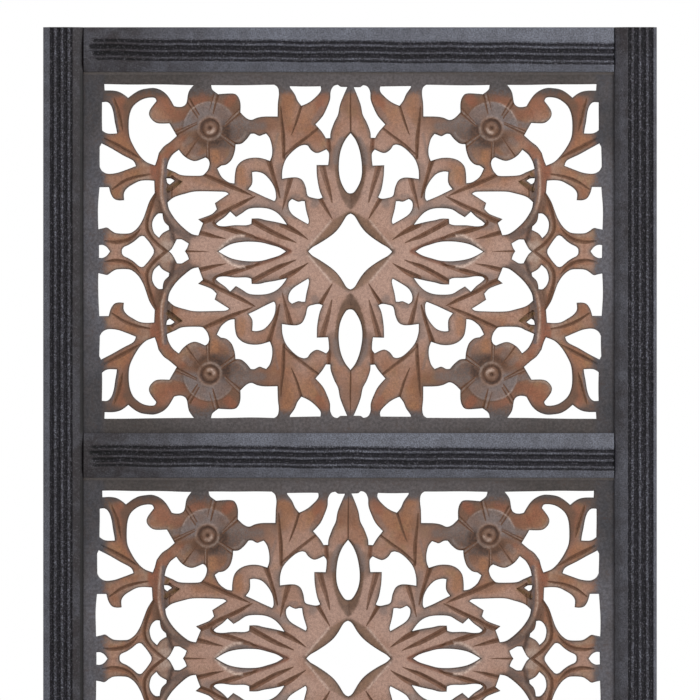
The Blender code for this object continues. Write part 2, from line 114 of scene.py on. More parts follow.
# %% Openings inside the quarter
SAWN = {
    "over_scroll": [
        [(129.8, 137.6), (133.8, 131.6), (135.6, 122.8), (138.5, 119.8), (142.5, 119.3)],
        [(146, 120), (151, 128), (156, 132.4), (162, 134.7), (168, 134.6), (174, 133.5), (179, 130.8)],
        [(184, 126.8), (187.5, 129.6), (191.5, 131.8), (196.5, 132.8)],
        [(203.6, 132.8)],
        [(203.8, 138.4)],
    ],
    "corner": [
        [(206, 123.3), (201.5, 123.4), (198.3, 120.5), (196.3, 115), (195, 107), (193.8, 101)],
        [(193.3, 97.3), (199.5, 97.1), (203, 98)],
        [(205.8, 100)],
    ],
    "scroll_eye": [
        [(160.7, 124), (162.3, 126.8), (168, 127), (174, 125), (180, 120), (183, 113), (183.8, 104),
         (183, 94.5), (179.5, 86.5), (174.5, 79), (169, 73.8)],
        [(162, 70.9), (160.2, 75.5)],
        [(158.6, 81.3), (154.5, 86.8), (149.5, 90.5)],
        [(143.8, 95.4)],
        [(150, 106.1), (159.5, 106), (164, 108.3), (166.7, 112.5), (165.8, 117.2)],
    ],
    "between_leaves": [
        [(207.9, 70), (205.8, 66.4), (201, 64.1), (193.5, 64.7), (186, 67.2)],
        [(177.6, 70.5), (180, 75), (189, 79.8), (198, 85)],
        [(206.4, 89.3)],
        [(207.9, 86.5)],
    ],
    "side_window": [
        [(208.2, 53.3)],
        [(200.3, 53.3), (198.6, 47.5), (195.8, 43.3), (192, 42)],
        [(187.7, 42.2), (187.9, 48), (185, 52.3), (180, 55.6), (174.5, 58.3), (168.5, 59)],
        [(162.6, 58.6)],
        [(162, 48.5), (166.3, 41.5), (169.3, 33.5), (171.8, 27), (175.5, 20.8), (179.5, 16.9), (184, 14.9),
         (193.5, 15), (197.8, 17), (201.5, 19.6), (205, 19)],
        [(208.9, 18.2), (209.2, 36)],
    ],
    "beside_bead": [
        [(155.7, 31.2), (159.3, 31.2), (162.8, 27.8), (164.5, 22.5), (163, 15.6)],
        [(158.7, 11), (155.6, 14.8)],
        [(150.2, 17.8)],
        [(150.6, 20.6), (154, 24), (155.3, 27.5)],
    ],
    "under_flower": [
        [(120.3, 77.8), (118, 76.2), (116.8, 72.5), (118.3, 67.2)],
        [(121.2, 63.6), (124.5, 62.4), (139, 62.6), (145.5, 65.2)],
        [(152.3, 68.2), (150.8, 74), (147.3, 80)],
        [(142.2, 84.2), (138.3, 79.3), (133, 75.8), (128, 74.9)],
    ],
    "leaf_socket": [[(146, 58.3), (149, 60.2)], [(152.8, 60.4), (152, 57)], [(149.8, 55.5)]],
    "barbed_window": [
        [(100.8, 47.4), (103, 49), (110, 49.5), (128, 49.5), (136.5, 47.9), (146, 45)],
        [(151.4, 40.6), (150, 34.3), (145, 26.3), (138.5, 19.7), (131.5, 14.6)],
        [(126, 13.3), (124.3, 18)],
        [(122.2, 23.4)],
        [(126.2, 26.6), (119.5, 29), (114.5, 31.3)],
        [(110.9, 34.9)],
        [(112.4, 39.8), (106.5, 43.7)],
    ],
    "long_slit": [
        [(52.7, 22.2), (56.5, 27.5), (61.5, 32.2), (68, 35), (76, 35.7), (84, 34.9), (90, 31.4)],
        [(94.9, 28.6)],
        [(99.8, 33.1), (104, 29), (109, 25.4)],
        [(111.4, 23.2), (109.5, 21.4), (104, 20.8), (96, 21.7), (86, 21.7)],
        [(82, 22.9)],
        [(81.7, 27), (75.5, 27), (70, 25.7), (62, 24.3)],
    ],
    "beside_flower": [
        [(63.2, 137.6)],
        [(115.6, 137.6), (114.4, 133.6)],
        [(109.6, 129.8), (97, 130.4), (93, 127.8), (91.2, 122.5)],
        [(91.2, 114.8), (86.5, 110.3), (82, 108.6), (77, 110.6), (71, 111.6)],
        [(60.4, 111.6), (60.2, 122), (59.4, 130), (60.4, 135.3)],
    ],
    "leaf_fork": [
        [(24.9, 136.6)],
        [(50.2, 136.6), (50.1, 135.4), (46.2, 129.8), (43.8, 124.3)],
        [(40.6, 120.1), (36.3, 121.9), (31.5, 125), (26, 130.4), (24.4, 133.8)],
    ],
    "beside_blade": [
        [(2.7, 135.8), (8.5, 136), (10.5, 137.6), (14.3, 136.4), (16.5, 132), (16.9, 125.5), (19.5, 118.5),
         (23, 111.7)],
        [(28.9, 105), (23.5, 98.7)],
        [(20.3, 93.5)],
        [(16.7, 93.6), (16.3, 98.5), (13.5, 106.5), (10.3, 113), (8.3, 122)],
    ],
    "over_hook": [
        [(69.8, 97.1), (72.5, 96.1), (75.5, 95.2), (79.5, 97.1)],
        [(82.6, 97), (86, 92.8), (90.5, 89.3)],
        [(95.2, 88.8), (95.9, 83), (98.3, 76.3), (102.5, 72.1)],
        [(107.2, 71)],
        [(110.5, 68.6), (106.8, 61.7), (101, 57.2)],
        [(96.1, 56.1), (95.6, 64), (94, 70.2), (89.5, 74.8), (83, 77.1), (75, 77.1)],
        [(66.8, 74.7), (65.1, 79.5), (65, 86), (66.8, 93)],
    ],
    "hook_eye": [
        [(81.4, 65.4), (77.5, 65.8), (71.5, 63.9), (66, 58.2), (62.6, 51.5), (61.9, 44.5)],
        [(63.2, 41.6), (71, 44.9), (78.5, 48.5)],
        [(84.7, 51.4), (81.3, 56.7)],
    ],
    "wing": [
        [(18.6, 71)],
        [(28, 71.1), (27.6, 61.5), (25.8, 51)],
        [(23.2, 44.6), (26, 43.4), (30.5, 44), (35.3, 46), (37, 53), (39.5, 58.4), (43.5, 60.8), (49, 61)],
        [(56.6, 60), (56.3, 67.5), (53.8, 75.5), (49, 81.7), (43, 86.7), (38, 88.3)],
        [(35.3, 87.4), (32.5, 83.6), (27.5, 81.3)],
        [(20.2, 84.3), (18, 81.4), (18, 76)],
    ],
    "under_bulge": [
        [(37.8, 41.5), (40.5, 41.6), (43.3, 41.1)],
        [(48.4, 43.4), (51, 41), (51.4, 37), (49.8, 32.8), (46, 29)],
        [(35.2, 22.6), (34.4, 25.5), (36.7, 34.5)],
    ],
}
print(len(SAWN), "openings lie inside each quarter")

# %% [markdown]
# Some openings lie across a centre line of the board. The quarter holds one half of each, as a bay in
# its edge. Running once around that edge, from opening to opening, gives the quarter's own outline.

# %% Openings on the centre lines
ACROSS_LEVEL = {
    "side_lens": [
        [(53.8, 0), (59, 3.2), (66, 5.5), (74, 7.6), (82, 8.1), (90, 7.6), (98, 6), (104, 3.4)],
        [(109.6, 0)],
    ],
    "star_window": [
        [(136.9, 0), (135, 2.8)],
        [(133.7, 6.4), (137.2, 8.5), (140, 9.9)],
        [(143.8, 9.8), (146.2, 5.2), (148.2, 2)],
        [(150.4, 0)],
    ],
    "side_diamond": [
        [(163, 0), (163.3, 2), (167, 7.6)],
        [(171, 12.3), (173, 12.9)],
        [(175.2, 12), (179.5, 8.2), (183.5, 5.6), (187.6, 3.7), (189.2, 1.6)],
        [(189.3, 0)],
    ],
    "side_slot": [[(199.2, 0), (202, 3.6), (205.5, 5.4)], [(208.7, 5.2)], [(208.7, 0)]],
}
ACROSS_UPRIGHT = {
    "top_lens": [
        [(0, 97.6), (4.4, 91.8), (7.7, 84), (9.4, 75), (9.6, 66), (8.3, 58.7), (5.5, 52.5), (2.5, 48.6)],
        [(0, 48)],
    ],
    "star": [
        [(0, 31.3), (3.3, 29.3), (8, 21.8), (12.5, 16.2), (18.5, 11.2), (25.5, 6.6), (31.5, 3.2)],
        [(34.8, 0)],
    ],
}
board_low, board_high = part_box("carved_board_upper")
HALF_WIDE = (board_high.x - board_low.x) / 2 * 1000
HALF_HIGH = (board_high.z - board_low.z) / 2 * 1000
BOARD_BACK = board_high.y * 1000
BOARD_THICKNESS = 12.0
BOARD_FRONT = BOARD_BACK - BOARD_THICKNESS
print("a quarter is", round(HALF_WIDE, 1), "x", round(HALF_HIGH, 1), "mm, front at", round(BOARD_FRONT, 1))

# %% Walk along the strokes
# Beyond the carved width and height the board is plain, and coarse steps are enough.
FINE = 1.15
COARSE = 4.0
CARVED_WIDE, CARVED_HIGH = 211, 140


def through(points, spacing=FINE):
    """Points about a spacing apart along the smooth curve through the given ones, the last left out."""
    padded = np.array([points[0], *points, points[-1]], float)
    found = []
    for a, b, c, d in zip(padded, padded[1:], padded[2:], padded[3:]):
        steps = max(1, round(float(np.linalg.norm((c - b)[:2])) / spacing))
        t = (np.arange(steps) / steps)[:, None]
        bend = (c - a) * t + (2 * a - 5 * b + 4 * c - d) * t**2 + (3 * b - a - 3 * c + d) * t**3
        found.append(b + bend / 2)
    return np.vstack(found)


def curve(points, spacing=FINE):
    """The whole curve, with its last point."""
    return np.vstack([through(points, spacing), points[-1:]])


def walked(strokes, closed):
    """A whole outline as points. An open one keeps its last point."""
    following = [*strokes[1:], strokes[0]] if closed else strokes[1:]
    parts = [through([*stroke, after[0]]) for stroke, after in zip(strokes, following)]
    return np.vstack(parts if closed else [*parts, [strokes[-1][0]]])


def straight(a, b, spacing):
    """Points on a straight line, both ends left out."""
    steps = max(1, round(math.dist(a, b) / spacing))
    return [tuple(np.array(a) + (np.array(b) - np.array(a)) * n / steps) for n in range(1, steps)]


bays = [walked(strokes, closed=False) for strokes in ACROSS_LEVEL.values()]
bays += [np.array([corner]) for corner in ((HALF_WIDE, 0), (HALF_WIDE, HALF_HIGH), (0, HALF_HIGH))]
bays += [walked(strokes, closed=False) for strokes in ACROSS_UPRIGHT.values()]
rim = []
for bay, after in zip(bays, [*bays[1:], bays[0]]):
    hidden = max(bay[-1][0], after[0][0]) > HALF_WIDE - 1 or min(bay[-1][1], after[0][1]) > CARVED_HIGH
    rim += [*map(tuple, bay), *straight(bay[-1], after[0], COARSE if hidden else FINE)]
outlines = [np.array(rim)] + [walked(strokes, closed=True) for strokes in SAWN.values()]
sawn_edges = [bay for bay in bays if len(bay) > 1] + [np.vstack([loop, loop[:1]]) for loop in outlines[1:]]
print(sum(map(len, outlines)), "points along", len(outlines), "outlines")

# %% [markdown]
# ## Where the tools went
#
# The carving is shallow. V cuts part the leaves and run down their middles, flat bevels fall away to
# the lens openings and to the star, one ridged stem passes over its neighbours, and the flower has a
# turned boss in a dished disc. A V cut is a line with a width at each point. A few cuts took less
# stain than the rest, and a share says how much. A bevel is the ridge that it starts from, and a few
# points that close its area across the opening.

# %% V cuts: across, up, width
GOUGED = {
    "star_ray": [(35, 9.4, 0.6), (40.4, 13.1, 2.4), (47.6, 17.6, 4.4), (56.4, 22.2, 5.2)],
    "blade_ray": [(45.2, 7.0, 0.8), (52, 10, 2.6), (59, 12.9, 4.0), (70, 18.6, 4.4), (79.5, 23.9, 4.6),
        (84, 26.2, 4.4)],
    "lens_slope": [(49.4, -0.6, 2.6), (56, 2.5, 3.4), (68, 7.4, 3.6), (76, 10.3, 3), (80, 11.8, 1.6)],
    "lens_rim": [(76, 10.4, 0.6), (80.6, 12.2, 3), (86, 13.7, 3.8), (92, 15.6, 4.4), (101, 18.3, 4.6),
        (108, 20.6, 4), (112.2, 22.2, 3.2), (113.6, 24.2, 2.2), (112.6, 26, 1)],
    "tip_ray": [(103.6, 10.2, 0.6), (112.6, 12.2, 2.8), (118, 13.8, 3.7), (126, 15.8, 4.2)],
    "tip_split": [(117.5, 0, 0.4), (128, 0, 1.4), (138.4, 0, 2)],
    "star_rib": [(15.1, 27, 0.8), (19.4, 34, 2.6), (24.3, 42.1, 3.8), (26, 45, 4)],
    "blade_rib": [(15.3, 40.3, 1.2), (17.1, 47.6, 2.8), (19.1, 55, 3.8), (21.5, 63, 4.6), (23.8, 72, 5.4)],
    "bulge_rib": [(56.5, 34.4, 0.8), (54.1, 44, 2.6), (52, 51.3, 3.8), (49.6, 60.4, 4.8), (49.2, 62.5, 5)],
    "hook_rib": [(58.6, 44.3, 1.2), (60.8, 52.8, 2.8), (64.3, 63.9, 3.4), (67.4, 74.2, 4.6),
        (68.4, 78, 4.8)],
    "long_leaf_upper": [(81.6, 46, 0.8), (91, 50.2, 3), (99.3, 53.7, 3.8), (110, 58.4, 3.8),
        (118, 61.8, 3.4), (124, 64.2, 2.6)],
    "long_leaf_lower": [(79.2, 45.2, 0.9), (86, 41.7, 2.8), (92, 38.6, 3.6), (106.4, 32, 3.6),
        (116, 26.8, 4.2), (125.6, 23.2, 4.2)],
    "corner_low": [(174, 76.6, 0.6), (180, 80.2, 2.6), (188, 84.6, 3.6), (196, 88.8, 3.4), (204, 93.0, 2)],
    "corner": [(188.6, 100, 0.8), (190.4, 108, 3.2), (192.4, 116, 3.6), (194.6, 122.5, 2.4),
        (195.6, 126, 1)],
    "trumpet_rib": [(166, 63.7, 1.4), (177.7, 61.5, 2.6), (188, 57.6, 2.8), (197.5, 51.2, 1.4)],
    "outer_arc": [(160.6, 48.4, 0.8), (162.6, 44.6, 3), (165.3, 37.6, 4), (167.6, 29.5, 3.2),
        (168.8, 23, 3), (168.2, 17, 3.2), (165.2, 11.4, 3.2), (160.4, 6.2, 3), (153.6, 0.8, 3),
        (151.8, -0.8, 3)],
    "bracket": [(174, 18.8, 0.6), (178.9, 13.2, 2.8), (185.4, 9.2, 3.4), (194.8, 7.6, 3.2),
        (203.5, 8.6, 1.4)],
    "fork_midrib": [(40.5, 120.6, 2.4), (44.1, 108.9, 2.2), (47.4, 100, 1.4), (49.2, 96.0, 0.5)],
    "stem_side": [(57.8, 119.5, 1), (56.9, 108, 2.4), (55.6, 93, 3.4), (55.2, 77, 2.4)],
    "under_fork": [(27, 101.4, 2.4), (35, 95.2, 2.6), (44.7, 87.9, 3.0), (55.4, 79, 1.4)],
    "leaf_joint": [(18.4, 94.5, 3.6), (17.6, 83, 3.8)],
    "blade_split": [(0, 135, 0.5), (0, 119, 1.6), (0, 99.4, 1.4)],
    "arm_end": [(148, 62.6, 0.8), (147.9, 60, 0.8)],
    "arm_end_low": [(147.6, 53.4, 0.8), (147.9, 48, 1.2), (147.6, 43.4, 0.8)],
}
PALE_CUTS = {"lens_slope": 0.25, "leaf_joint": 0.68, "under_fork": 0.9, "blade_rib": 0.8, "bulge_rib": 0.85}
print(len(GOUGED), "V cuts,", len(PALE_CUTS), "of them paler")

# %% Bevels, the ridged stem and the pocket
BEVELS = {
    "star": {
        "ridge": [(0, 33.8), (4.2, 32.2), (9.5, 29.2), (14.2, 26.9), (15.6, 25.9), (20.4, 20.1),
                  (25.4, 14.2), (30.4, 8.3), (35.6, 2.2)],
        "across": [(37, -1), (-1, -1)], "slope": 0.36, "shade": 0.38, "wash": 0.0,
    },
    "top_lens": {
        "ridge": [(0, 99.4), (5.4, 95), (9.4, 88), (12.4, 78.5), (13.6, 70), (12.6, 60), (10.2, 50.5),
                  (6.2, 41), (3.2, 36.4), (0, 34.2)],
        "across": [(-1, 34), (-1, 99)], "slope": 0.5, "shade": 0.85, "wash": 0.12,
    },
    "side_lens": {
        "ridge": [(49.5, 0), (58, 5), (68, 9), (77, 11.6), (86.7, 12.8), (93.4, 12.7), (99.4, 9.9),
                  (105.2, 5.2), (110, 0.4)],
        "across": [(112, -1), (49, -1)], "slope": 0.42, "shade": 0.1, "wash": 0.35,
    },
    "corner_leaf": {
        "ridge": [(200.5, 126.5), (196.3, 122), (193.9, 117), (192.3, 109), (191.2, 98.6)],
        "across": [(193.6, 97.6), (203, 101), (203, 122)], "slope": 0.45, "shade": 0.2, "wash": 0.75,
    },
}
STEM = [(151.4, 83.4), (154.4, 78), (155.5, 70), (156.7, 58), (156.7, 47.6), (155.6, 40.3), (154.0, 34.3),
        (150.6, 27.6), (146.4, 22), (140.4, 16.6), (132, 12)]
STEM_HALF = 4.6
POCKET = [(139, 57.6), (147.5, 61.6), (152.6, 60.6), (151, 49.4), (147, 50.6)]
print(len(BEVELS), "bevels, and a stem", 2 * STEM_HALF, "mm wide")

# %% [markdown]
# The flower is laid out from its centre, as with compasses. A line between two petals has a bearing
# in degrees and a distance from the centre at its near and its far end, and a width at both. Circles
# around the boss give its mouldings enough points to be round.

# %% Lines between the petals: near and far bearing, near and far distance, near and far width
FLOWER = (116.7, 101.5)
PETAL_LINES = [
    (103.5, 103.8, 12.4, 30, 0.9, 3.0), (90, 97, 15, 29, 0.5, 1.2),
    (52, 55.5, 14, 29, 1.0, 2.2), (41, 49, 13, 28, 1.0, 2.2),
    (27, -5.5, 11.5, 28, 0.7, 1.2), (18, -11.5, 11.2, 28.8, 1.0, 2.3),
    (-42, -49.8, 11.2, 31, 0.9, 1.7),
    (-87, -89.6, 12, 29, 1.1, 1.9), (-79, -84.4, 12, 26, 0.5, 1.1),
    (-154, -150.5, 11, 26, 0.8, 1.8), (-144, -143, 11.5, 26, 0.7, 1.5),
    (172, 153, 13, 30, 1.1, 2.1), (162, 147, 14, 29, 0.7, 1.4),
]
FLOWER_RINGS = (0.8, 1.7, 2.8, 4.2, 5.6, 6.6, 7.6, 8.6, 9.8, 11.2)
RING_POINTS = 5.4


def around_flower(bearing, distance):
    """A place in the quarter, from a bearing in degrees and a distance from the flower's centre."""
    turn = math.radians(bearing)
    return FLOWER[0] + distance * math.cos(turn), FLOWER[1] + distance * math.sin(turn)


petal_cuts = []
for near_turn, far_turn, start, reach, near_width, far_width in PETAL_LINES:
    ends = (*around_flower(near_turn, start), near_width), (*around_flower(far_turn, reach), far_width)
    petal_cuts.append([ends[0], tuple((a + b) / 2 for a, b in zip(*ends)), ends[1]])
flower_rings = []
for ring in FLOWER_RINGS:
    turns = np.linspace(0, math.tau, max(8, round(ring * RING_POINTS)) + 1)
    flower_rings.append(np.column_stack([np.cos(turns), np.sin(turns)]) * ring + FLOWER)
print(len(petal_cuts), "lines between the petals and", len(flower_rings), "rings around the boss")

# %% [markdown]
# ## From drawing to mesh
#
# A mesh that follows the drawing exactly has its points on every outline and along every cut, and an
# even net of points between them. A constrained Delaunay triangulation joins them all and keeps the
# drawn lines as edges, so a V cut has a crisp bottom. Each point then gets its height by rule.

# %% Measuring helpers


def gap_to(points, line):
    """Each point's distance to a line, where along it its foot is, and whether it lies to its left."""
    start, run = line[:-1], np.diff(line, axis=0)
    offset = points[:, None] - start
    share = np.clip((offset * run).sum(2) / (run * run).sum(1), 0, 1)
    gap = np.linalg.norm(offset - share[..., None] * run, axis=2)
    best = gap.argmin(1)
    rows = np.arange(len(points))
    left = run[best, 0] * offset[rows, best, 1] > run[best, 1] * offset[rows, best, 0]
    return gap[rows, best], best + share[rows, best], left


def near(points, line, reach):
    """The numbers of the points that may lie within reach of the line."""
    low, high = line.min(0) - reach, line.max(0) + reach
    return np.flatnonzero(((points >= low) & (points <= high)).all(1))


def enclosed(points, loop):
    """True for each point inside the loop."""
    x, y = points[:, :1], points[:, 1:]
    after = np.roll(loop, -1, axis=0)
    rising = (loop[:, 1] > y) != (after[:, 1] > y)
    lean = (after[:, 0] - loop[:, 0]) / np.where(after[:, 1] == loop[:, 1], 1e-12, after[:, 1] - loop[:, 1])
    return (rising & (x < loop[:, 0] + lean * (y - loop[:, 1]))).sum(1) % 2 == 1


def in_wood(points):
    """True for each point of the quarter that no opening takes."""
    inside = enclosed(points, outlines[0])
    for loop in outlines[1:]:
        some = near(points, loop, 0)
        inside[some] &= ~enclosed(points[some], loop)
    return inside


def side_lines(line, half):
    """The two lines at a distance beside a line. The distance may change along it."""
    heading = np.gradient(line, axis=0)
    heading /= np.linalg.norm(heading, axis=1)[:, None]
    aside = np.stack([-heading[:, 1], heading[:, 0]], axis=1) * np.reshape(half, (-1, 1))
    return [line + aside, line - aside]


print("the flower's centre is in the wood:", bool(in_wood(np.array([FLOWER]))[0]))

# %% Lines that the mesh must keep
cuts = {}
for name, points in (*GOUGED.items(), *((f"petal_{n}", line) for n, line in enumerate(petal_cuts))):
    line = curve(points)
    cuts[name] = line[:, :2], np.maximum(line[:, 2], 0)
stem = curve(STEM)
ridges = {name: curve(bevel["ridge"]) for name, bevel in BEVELS.items()}
kept = [*ridges.values(), stem, *side_lines(stem, STEM_HALF)]
for line, width in cuts.values():
    kept += [line, *side_lines(line, width / 2)]
kept += [*flower_rings, np.array(POCKET + POCKET[:1], float)]
print(len(kept), "lines are kept as edges")


# %% The net of points and its triangles
def net(low, high, spacing):
    """Points at the corners of even triangles over a rectangle."""
    rows = np.arange(low[1], high[1], spacing * math.sqrt(3) / 2)
    across = np.arange(low[0], high[0], spacing)
    return np.vstack([np.stack([across + spacing / 2 * (n % 2), np.full(len(across), y)], 1)
                      for n, y in enumerate(rows)])


def away_from(points, others, distance):
    """The points that no other is nearer to than the distance."""
    tree = KDTree(len(others))
    for number, (x, y) in enumerate(others):
        tree.insert((x, y, 0), number)
    tree.balance()
    return np.array([p for p in points if tree.find((p[0], p[1], 0))[2] > distance])


def triangulated(loops, lines, loose):
    """Points and triangles of the wood, with the loops and lines as edges."""
    points, edges = [], []
    for group, closed in ((loops, True), (lines, False)):
        for line in group:
            first = len(points)
            points += [Vector(p) for p in line.tolist()]
            edges += [(first + n, first + n + 1) for n in range(len(line) - 1)]
            if closed:
                edges.append((len(points) - 1, first))
    points += [Vector(p) for p in loose.tolist()]
    found, _, faces, *_ = delaunay_2d_cdt(points, edges, [], 0, 1e-4)
    found = np.array([tuple(p) for p in found])
    faces = np.array(faces)
    return found, faces[in_wood(found[faces].mean(1))]


RIM_STEPS = (0.45, 1.05)
UNREACHED = 9.0
CLEAR_OF_CUTS = 0.5
CLEAR_OF_LINES = 0.62


def gap_to_openings(points, reach):
    """Each point's distance to the nearest sawn edge, or UNREACHED where none is within reach."""
    gaps = np.full(len(points), UNREACHED)
    for edge in sawn_edges:
        some = near(points, edge, reach)
        gaps[some] = np.minimum(gaps[some], gap_to(points[some], edge)[0])
    return gaps


rings = np.vstack([line for edge in sawn_edges for step in RIM_STEPS for line in side_lines(edge, step)])
carved = (rings > 0.3).all(1) & (rings < (CARVED_WIDE + 4, CARVED_HIGH + 2)).all(1)
rings = rings[in_wood(rings) & carved & (gap_to_openings(rings, 2) > 0.4)]
rings = away_from(rings, np.vstack(kept), CLEAR_OF_CUTS)
fine = net((0.6, 0.6), (CARVED_WIDE, CARVED_HIGH), FINE)
beside = net((CARVED_WIDE + 2, 1.5), (HALF_WIDE - 1, HALF_HIGH - 1), COARSE)
above = net((2, CARVED_HIGH + 2), (CARVED_WIDE, HALF_HIGH - 1), COARSE)
loose = np.vstack([fine, beside, above])
loose = away_from(loose[in_wood(loose)], np.vstack([*outlines, *kept, rings]), CLEAR_OF_LINES)
flat, front_faces = triangulated(outlines, kept, np.vstack([rings, loose]))
print(len(flat), "points and", len(front_faces), "triangles on the front of a quarter")

# %% [markdown]
# ## Heights by rule
#
# Every rule says how far the surface lies above or below the board's flat front, in millimetres. The
# bevels and the flower come first, then the ridged stem over them, then the V cuts, and last the
# softened edge along every opening. The same rules leave marks for the stain: how dark a cut is, how
# far a point lies inside it, where grey was rubbed in, and where the surface is paler, from wear and
# from painted highlights. They also leave painted light: a highlight on one side of each cut, shade
# along its bottom and in the hollows of the boss, and shade along every sawn edge.

# %% Fall away from the ridges
# The paler stretch of a ridge, part wear and part painted highlight: from which of its points to which, how
# strong, and how wide.
RIDGES_WORN_AND_HIGHLIT = {"star": (5, 8, 0.6, 0.9), "side_lens": (5, 8, 1.0, 1.1)}


def faded(value, start, end):
    """0 before the start, 1 after the end, smooth between them."""
    share = np.clip((value - start) / (end - start), 0, 1)
    return share * share * (3 - 2 * share)


def band(value, centre, width):
    """1 at the centre, falling away smoothly over the width."""
    return np.exp(-(((value - centre) / width) ** 2))


def stronger(name, values, where=slice(None)):
    """Keeps the greater of a mark's old and new values."""
    marks[name][where] = np.maximum(marks[name][where], values)


height = np.zeros(len(flat))
marks = {name: np.zeros(len(flat)) for name in ("cut", "deep", "lit", "shade", "wash", "wear_and_highlight")}
marks["inside"] = np.full(len(flat), -1.0)
for name, bevel in BEVELS.items():
    some = np.flatnonzero(enclosed(flat, np.vstack([ridges[name], bevel["across"]])))
    gap = gap_to(flat[some], ridges[name])[0]
    height[some] -= bevel["slope"] * gap
    marks["shade"][some] = bevel["shade"] * faded(gap, -0.4, 1.2)
    marks["wash"][some] = bevel["wash"] * faded(gap, -0.4, 1.5)
for name, (first, last, strength, width) in RIDGES_WORN_AND_HIGHLIT.items():
    stretch = np.array(BEVELS[name]["ridge"], float)[first - 1:last + 1]
    gap, along, _ = gap_to(flat, stretch)
    stronger("wear_and_highlight", strength * band(gap, 0, width) * (along > 0.02) * (along < len(stretch) - 1.02))
print("the bevels go down to", round(float(height.min()), 2), "mm")

# %% Turn the boss and dish the flower
DISC_EDGE = 21.8
BOSS_EDGE = 11.4
PETAL_EDGE = 36
DISC_STEP = 1.1
BOSS = [(0, -0.3), (0.8, -0.1), (1.8, 1.2), (3.2, 1.6), (4.4, 1.3), (6.4, -0.7), (7.4, -0.8), (8.5, 0.5),
        (9.4, 0.7), (11.4, 0)]

offset = flat - FLOWER
radius = np.hypot(*offset.T)
turn = np.arctan2(offset[:, 1], offset[:, 0])
disc = faded(np.sin(turn + 0.18), -0.1, 0.3)
boss = np.interp(radius, *zip(*BOSS))
dish = 0.5 * faded(radius, BOSS_EDGE, 20) - DISC_STEP * disc * faded(radius, DISC_EDGE, DISC_EDGE + 1.2)
dish += (0.6 * disc - 0.5) * faded(radius, DISC_EDGE - 4, PETAL_EDGE)
height += np.where(radius < BOSS_EDGE, boss, np.where(radius < PETAL_EDGE, dish, 0))
print("the boss stands", round(float(boss.max()), 2), "mm high")

# %% [markdown]
# Grey wash lies on the flower's disc, above the boss, with a painted highlight along the disc's upper
# rim. Round the boss run a dark hollow, at 7 mm from the centre, with painted shade at its bottom that
# widens on its upper side, and a pale rim. The boss itself is painted dark as shade, but for a painted
# highlight on its lower left, as a crescent on its rim and dome, and the dimple at its centre is
# darkened as painted shade.

# %% Stain marks on the flower
RIM = DISC_EDGE - 0.3
rubbed = 0.9 * disc * (0.62 + 0.38 * faded(np.cos(turn), -0.8, 0.0))
stronger("wash", rubbed * (1 - faded(radius, RIM, DISC_EDGE + 0.7)))
marks["wash"] *= 0.25 + 0.75 * faded(radius, 8.4, BOSS_EDGE - 0.4)
# Painted highlight along the disc's rim, strongest at the upper right.
rim_light = band(turn, math.radians(52), 0.55) + 0.4 * band(turn, math.radians(120), 0.4)
stronger("wear_and_highlight", 0.5 * rim_light * band(radius, RIM, 0.6))
# The boss's lower left is lit: a painted highlight on its rim and on its dome.
lit_crescent = faded(np.cos(turn - math.radians(238)), 0.1, 0.9)
stronger("wear_and_highlight", (0.2 + 0.22 * lit_crescent) * band(radius, 9.3, 0.9))
stronger("wear_and_highlight", band(radius, 3.7, 1.2) * (0.08 + 0.75 * lit_crescent))
# The rest of the boss is painted darker, as shade.
stronger("cut", 0.7 * (1 - faded(radius, 8.2, 9)) * (1 - lit_crescent))
# Painted shade in the hollow round the boss, wider on its upper side, and in the dimple.
shade_wider = 0.7 * faded(np.sin(turn + 0.5), -0.2, 0.8)
stronger("cut", band(radius, 7.1, 0.9 + shade_wider))
stronger("cut", band(radius, 0, 1.6))
stronger("deep", band(radius, 7.0, 0.8 + shade_wider))
stronger("deep", band(radius, 0, 1.3))
stronger("inside", np.where(radius < 9.3, 1.0, -1.0))
print(int((marks["wash"] > 0.5).sum()), "points of a quarter are washed grey")

# %% Raise the stem and sink the pocket
STEM_TOP = 1.0
STEM_FALL = 1.5
POCKET_DEPTH = 2.6
some = near(flat, stem, STEM_HALF)
gap, along, _ = gap_to(flat[some], stem)
covered = gap < STEM_HALF
some, gap, along = some[covered], gap[covered], along[covered] / (len(stem) - 1)
raised = faded(along, 0.02, 0.2) * (1 - faded(along, 0.78, 0.97))
roof = STEM_TOP - STEM_FALL * np.sqrt((gap / STEM_HALF) ** 2 + 0.012)
height[some] = height[some] * (1 - raised) + raised * roof
for name in ("shade", "wash"):
    marks[name][some] *= 1 - raised
# A pale line along the stem's crown: painted highlight on the rounded stem.
stronger("wear_and_highlight", 0.55 * band(gap, 0, 0.65) * raised * (1 - faded(along, 0.45, 0.72)), some)

sunk = enclosed(flat, np.array(POCKET, float)) & (gap_to(flat, stem)[0] > STEM_HALF - 0.3)
height[sunk] -= POCKET_DEPTH
marks["cut"][sunk] = 0.3
marks["inside"][sunk] = 1.0
print(len(some), "points on the stem,", int(sunk.sum()), "in the pocket beside it")

# %% Cut the Vs and soften every sawn edge
CUT_SLOPE = 0.8
ARRIS, ARRIS_DROP = 1.05, 0.45
for name, (line, width) in cuts.items():
    some = near(flat, line, width.max() / 2 + 1.5)
    gap, along, left = gap_to(flat[some], line)
    half = np.interp(along, np.arange(len(line)), width) / 2
    within = half - gap
    dark = PALE_CUTS.get(name, 1.0)
    height[some] -= np.clip(within, 0, None) * CUT_SLOPE
    stronger("cut", dark * faded(within, -1.4, -0.8) * faded(half, 0, 0.4), some)
    stronger("inside", np.clip(within, -1, 1), some)
    # Painted shade along the bottom of each cut, and a painted highlight on the facet to the left of its
    # line.
    stronger("deep", 0.18 * band(gap, 0, 0.5) * faded(half, 0.3, 1.2) * dark, some)
    stronger("lit", left * faded(gap, 0, 0.5) * faded(within, -0.2, 0.3) * faded(half, 0.8, 1.8), some)

